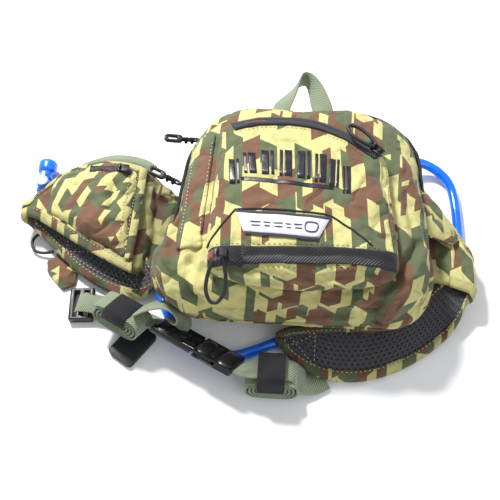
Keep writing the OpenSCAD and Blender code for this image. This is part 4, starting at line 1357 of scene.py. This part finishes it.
def make_keeper(name, at, axes, top, body, node):
    """The hook-and-loop band that holds a roll shut."""
    x, y, z = axes
    c = Vector(at)
    corners = [(-1.5, 1.5), (-2.2, 4), (-2.2, top - 4), (-0.6, top - 0.6), (3.5, top + 0.3),
               (12, top + 0.5),
               (21.5, top + 0.3), (25.6, top - 0.6), (27.2, top - 4), (27.2, -6), (25, -10.6), (12, -11)]
    pts = [c + y * p[0] + z * p[1] for p in spline(corners, 5)]
    stations = []
    for i, p in enumerate(pts):
        t = heading(pts, i)
        stations.append((p, x, t.cross(x)))
    band = ribbon(name, stations, KEEPER_WIDTH, 1.5, FUZZ, body)
    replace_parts(band, node)
    thread = Stitches()
    for s in (-KEEPER_WIDTH / 2 + 2, KEEPER_WIDTH / 2 - 2):
        thread.row([c + y * v + z * (top + 1.0) + x * s for v in (2, 12, 23)], 2.2, 1.4, 0.3)
    thread.done(name + "_stitches", BLACK_CLOTH, body, "keeper_tape")


def leaning_strap(name, rows, steps, width, thick, body, node):
    """A strap along rows of [x, y, z, lean]."""
    pts = spline(rows, steps)
    stations = along_line([p[:3] for p in pts], [p[3] for p in pts])
    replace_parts(ribbon(name, stations, width, thick, WEBBING, body), node)


def make_webbing():
    left_axes, right_axes = roll_frame(-28, -24), roll_frame(0, -13)
    make_roll("left_roll_webbing", (-158, -116, 32), left_axes, 14.5, 10.4, 4.4, "buckle_half", "left_roll")
    make_keeper("left_keeper_band", (-158, -116, 32), left_axes, 10.6, "buckle_half", "left_keeper")
    make_roll("right_roll_webbing", (-20, -165, 17.8), right_axes, 14, 10.2, 4.4, "belt", "right_roll")
    make_keeper("right_keeper_band", (-20, -165, 17.8), right_axes, 19.5, "belt", "right_keeper")
    flat = Vector((0.08, 1, 0))
    for i, (up, off) in enumerate(((0, 0), (2.6, -3.5))):
        line = [(-193, -86, 7.5), (-184, -86, 6.5), (-172, -88, 6), (-160, -92, 8), (-149, -97, 12),
                (-138, -102.5, 17),
                (-128, -107, 22), (-119, -110.5, 24.2)]
        pts = [Vector(p) + Vector((0, off * (1 - k / 7), up * (1 - k / 9))) for k, p in enumerate(line)]
        if i:    # this strand comes over the lock's bars from its outer slot
            pts = [Vector(p) for p in ((-198, -86, 6), (-197.6, -86, 9.5), (-194, -86.3, 11.3),
                                       (-188, -87, 11.4),
                                       (-182, -88, 10.6))] + pts[2:]
        pts = [Vector(p) for p in spline([tuple(p) for p in pts], 4)]
        stations = []
        for k, p in enumerate(pts):
            t = heading(pts, k)
            across = flat.lerp(BUCKLE_Y, min(1, k / len(pts) * 1.1))
            across = (across - t * across.dot(t)).normalized()
            stations.append((p, across, t.cross(across)))
        strand = ribbon(f"left_strand_{i}", stations, 24 - 3 * i, 1.6, WEBBING, None)
        if i == 0:
            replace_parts(strand, "left_strands")
        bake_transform(strand)
    loop = [(-141, -110, 38, 60), (-133, -105, 40, 52), (-122, -101.5, 42, 46), (-111, -102, 42.5, 48),
            (-103, -106, 40, 56), (-100, -111, 34, 62), (-105, -113.5, 29, 66)]
    leaning_strap("left_loop_webbing", loop, 5, 24, 1.7, "buckle_half", "left_loop")
    rows = [(-53, -144.8, 24.4, 40), (-46.9, -148.1, 25.0, 40), (-42, -149.5, 26.6, 35),
            (-35, -149.5, 28.4, 23),
            (-28, -148.5, 28.8, 17), (-18, -148, 28.4, 15), (-8, -148, 27.2, 15), (-2, -148, 24.5, 12),
            (3, -149, 16.5, 6), (9, -150.4, 7.5, 3), (15, -149, 4.2, 2), (26, -143, 3.2, 0)]
    leaning_strap("right_strap_webbing", rows, 4, 22, 1.7, "belt", "right_strap")
    handle = [(-25, 108, 55, 20), (-23, 117, 57, 24), (-20, 124, 57.5, 32), (-14, 136, 58, 52),
              (-8, 147, 59, 75),
              (-2, 152, 60, 90), (4, 148, 60, 105), (9, 138, 59, 128), (13, 126, 58, 150),
              (16, 117, 57, 158),
              (18, 108, 55, 160)]
    leaning_strap("grab_handle_webbing", handle, 5, 20, 2.0, "handle", "grab_handle")


make_webbing()


# ---- hardware -------------------------------------------------------------------------------
def make_loop_pull(name, at, along, side, drop, length, width, body, node):
    """A thick cord bent into a loop, from its pivot."""
    shape = [(0, -0.12), (0.12, -0.55), (0.4, -0.9), (0.72, -0.95), (0.95, -0.5), (1, 0), (0.95, 0.5),
             (0.72, 0.95),
             (0.4, 0.9), (0.12, 0.55), (0, 0.12)]
    at, along, side = Vector(at), Vector(along), Vector(side)
    pts = [at + along * length * x + side * width / 2 * y + Vector((0, 0, -drop * x)) for x, y in shape]
    cord = rope(name, pts, 1.6, RUBBER, body)
    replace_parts(cord, node)
    knot = [pts[0] + side * 1.4 + along * length * 0.06, pts[0] - side * 2.2 + along * length * 0.1,
            pts[0] + Vector((0, 0, 1.8)) + along * length * 0.16, pts[0] + side * 2.4
            + along * length * 0.13]
    rope(name + "_knot", knot, 1.5, RUBBER, body, closed=True)


def make_side_pull(name, at, turn, body):
    """The knotted cord between a side slider and its moulded grip."""
    along = Vector((cos(radians(turn)), sin(radians(turn)), 0.2)).normalized()
    side = along.cross(Vector((0, 0, 1))).normalized()
    up = side.cross(along)
    for sign in (-1, 1):
        pts = [Vector(at) + along * x + side * sign * y for x, y in ((-4, 0.3), (0, 1.5), (5, 1.7),
                                                                     (9, 1.1), (13.5, 1.2))]
        rope(f"{name}_strand_{'ab'[sign > 0]}", pts, 1.15, RUBBER, body)
    for i, x in enumerate((4.6, 10.5)):
        knot = [Vector(at) + along * (x + 1.3 * cos(a)) + side * 2.5 * sin(a) + up * 2.0 * cos(a * 2)
                for a in (2 * pi * k / 8 for k in range(8))]
        rope(f"{name}_knot_{i}", knot, 1.2, RUBBER, body, closed=True)


def make_buckle_shoulders():
    """The swollen grips of the buckle's two halves, in its own frame."""
    for name, x, length, width, high, body in (
            ("male_end", -31, 9, 14.2, 5.4, "buckle_half"), ("male_bridge", -14, 5.5, 6.5, 4.6,
                                                             "buckle_half"),
            ("female_nose", 9.5, 7, 14.8, 5.2, "belt"), ("female_waist", 19.5, 3.4, 13, 4.4, "belt"),
            ("female_end", 31.5, 8.6, 15.2, 5.6, "belt")):
        rings = []
        for k in range(1, 10):
            a = -pi / 2 + pi * k / 10
            f = cos(a) ** 0.55
            rings.append([BUCKLE + BUCKLE_X * (x + length * f * np.sign(cos(b)) * abs(cos(b)) ** 0.6)
                          + BUCKLE_Y * (width * f * np.sign(sin(b)) * abs(sin(b)) ** 0.6)
                          + BUCKLE_Z * (high * sin(a))
                          for b in (2 * pi * i / 32 for i in range(32))])
        solid("buckle_" + name, rings, HARD, body)


SLIDER_DROP = 1.5
PULL_PIVOT = (-104.8, 83.2, 41)


def make_hardware():
    for node, paint, width, body, slot in (
            ("buckle_female", HARD, 1.3, "belt", "hardware"), ("buckle_male", HARD, 1.2, "buckle_half",
                                                               "hardware"),
            ("prong_near", HARD, 0.7, "near_prong", "hardware"), ("prong_far", HARD, 0.7, "far_prong",
                                                                  "hardware"),
            ("ladder_lock", SATIN, 1.2, "belt", "hardware"), ("magnetic_tab", RUBBER, 1.2, "tab",
                                                              "hardware"),
            ("main_slider_top", SATIN, 0.5, "slider_top", "zip_hardware"),
            ("main_pull_top", SATIN, 0.9, "pull_top", "zip_hardware"),
            ("main_slider_side", SATIN, 0.5, "slider_side", "zip_hardware"),
            ("main_pull_side", SATIN, 0.9, "pull_side", "zip_hardware"),
            ("top_slider", SATIN, 0.5, "pocket_slider", "zip_hardware"),
            ("lower_slider", SATIN, 0.5, "front_slider", "zip_hardware"),
            ("wing_slider", SATIN, 0.5, "belt_slider", "zip_hardware"),
            ("tube_port", SATIN, 0.8, "pack", "zip_hardware")):
        rounded(node, paint, width=width, body=body)
    for node in ("buckle_female", "buckle_male"):
        mesh = bpy.data.objects[node + "_moulded"].data
        co = coords(mesh)
        rise = (co - np.array(place(BUCKLE))) @ np.array(BUCKLE_Z)
        mesh.vertices.foreach_set("co", (co - np.outer(rise * 0.32, np.array(BUCKLE_Z))).ravel())
        mesh.update()
    # the pocket's sliders sit down on their tapes
    for node in ("top_slider", "lower_slider"):
        bpy.data.objects[node + "_moulded"].data.transform(Matrix.Translation((0, 0, -SLIDER_DROP * MM)))
    make_buckle_shoulders()
    # the upper pull has swung down toward the wing
    pivot, swing = place(PULL_PIVOT), Matrix.Rotation(radians(30), 4, "Z")
    bpy.data.objects["main_pull_top_moulded"].data.transform(
        Matrix.Translation(pivot) @ swing @ Matrix.Translation(-pivot))
    make_side_pull("top_pull_strand", PULL_PIVOT, 190, "pull_top")
    make_side_pull("side_pull_strand", (-117.1, 30.4, 41), 158, "pull_side")
    a = radians(51)
    make_loop_pull("top_pull_cord", (*zip_arc(46.4, 116), 109.2 - SLIDER_DROP), (-sin(a), cos(a), 0),
                   (cos(a), sin(a), 0), -2.0, 30,
                   11, "pocket_pull", "top_pull")
    make_loop_pull("lower_pull_cord", (-67, -89, 108.5 - SLIDER_DROP), (-0.06, -1, 0), (1, 0, 0), 20, 31,
                   16, "front_pull", "lower_pull")


make_hardware()


# ---- back and inside ------------------------------------------------------------------------
def make_back():
    """Two soft mesh pads with an air channel between them."""
    for name, side in (("left", -1), ("right", 1)):
        pts = [p for p in even(back_outline(6), 200, closed=True) if p.x * side >= 8]
        pts.sort(key=lambda p: atan2(p.y - 10, (p.x * side) - 8))
        line = [Vector((p.x, p.y, 0)) for p in pts]
        low, high = min(p.y for p in line), max(p.y for p in line)
        line += [Vector((8 * side, high - 2, 0)), Vector((8 * side, low + 2, 0))]
        line = even(line, 90, closed=True)
        centre = Vector((48 * side, 10, 0))
        rings = [[centre + (p - centre) * f + Vector((0, 0, z)) for p in line]
                 for f, z in ((0.02, 1.0), (0.25, 1.0), (0.5, 1.0), (0.7, 1.1), (0.85, 1.6), (0.94, 2.6),
                              (0.985, 4.6),
                              (0.99, 6.5), (0.97, 8.6), (0.9, 9.9))]
        obj = solid(f"{name}_back_pad", rings, MESH)
        rows = [([(side * 14, y, 1), (side * 50, y - 2, 1), (side * 94, y - 6, 2)], 2.2, 3.4)
                for y in (58, 24, -10, -44)]
        crease(obj.data, rows, 0.4, 30, 3.0)
        co = coords(obj.data)
        co[:, 2] = np.maximum(co[:, 2], 0.3 * MM)
        obj.data.vertices.foreach_set("co", co.ravel())
        obj.data.update()
        flat_print(obj.data, 0, front=-1)
        smooth(obj.data)
        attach(obj, "pack")
        if side < 0:
            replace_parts(obj, "back_pads")


def paint_nodes():
    """Better materials on the CAD nodes that stay: the stiff sheets and what is held inside."""
    for node, paint in (("back_panel", BOARD), ("reservoir", BAG),
                        ("reservoir_cap", CAP_BLUE), ("reservoir_sleeve", INNER_CLOTH),
                        ("quick_link", CAP_BLUE),
                        ("inner_tube", BLUE)):
        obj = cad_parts[node]
        for slot_ in obj.material_slots:
            slot_.material = paint


make_back()
paint_nodes()


# ---- floor and close ------------------------------------------------------------------------
def make_floor():
    mesh = bpy.data.meshes.new("floor")
    mesh.from_pydata([(-3, -3, 0), (3, -3, 0), (3, 3, 0), (-3, 3, 0)], [], [(0, 1, 2, 3)])
    floor = bpy.data.objects.new("floor", mesh)
    scene.collection.objects.link(floor)
    paint = Paint("pale_floor", 0.85, specular_ior_level=0.1)
    paint.shader.inputs["Base Color"].default_value = (0.92, 0.92, 0.93, 1)
    mesh.materials.append(paint.material)


make_floor()
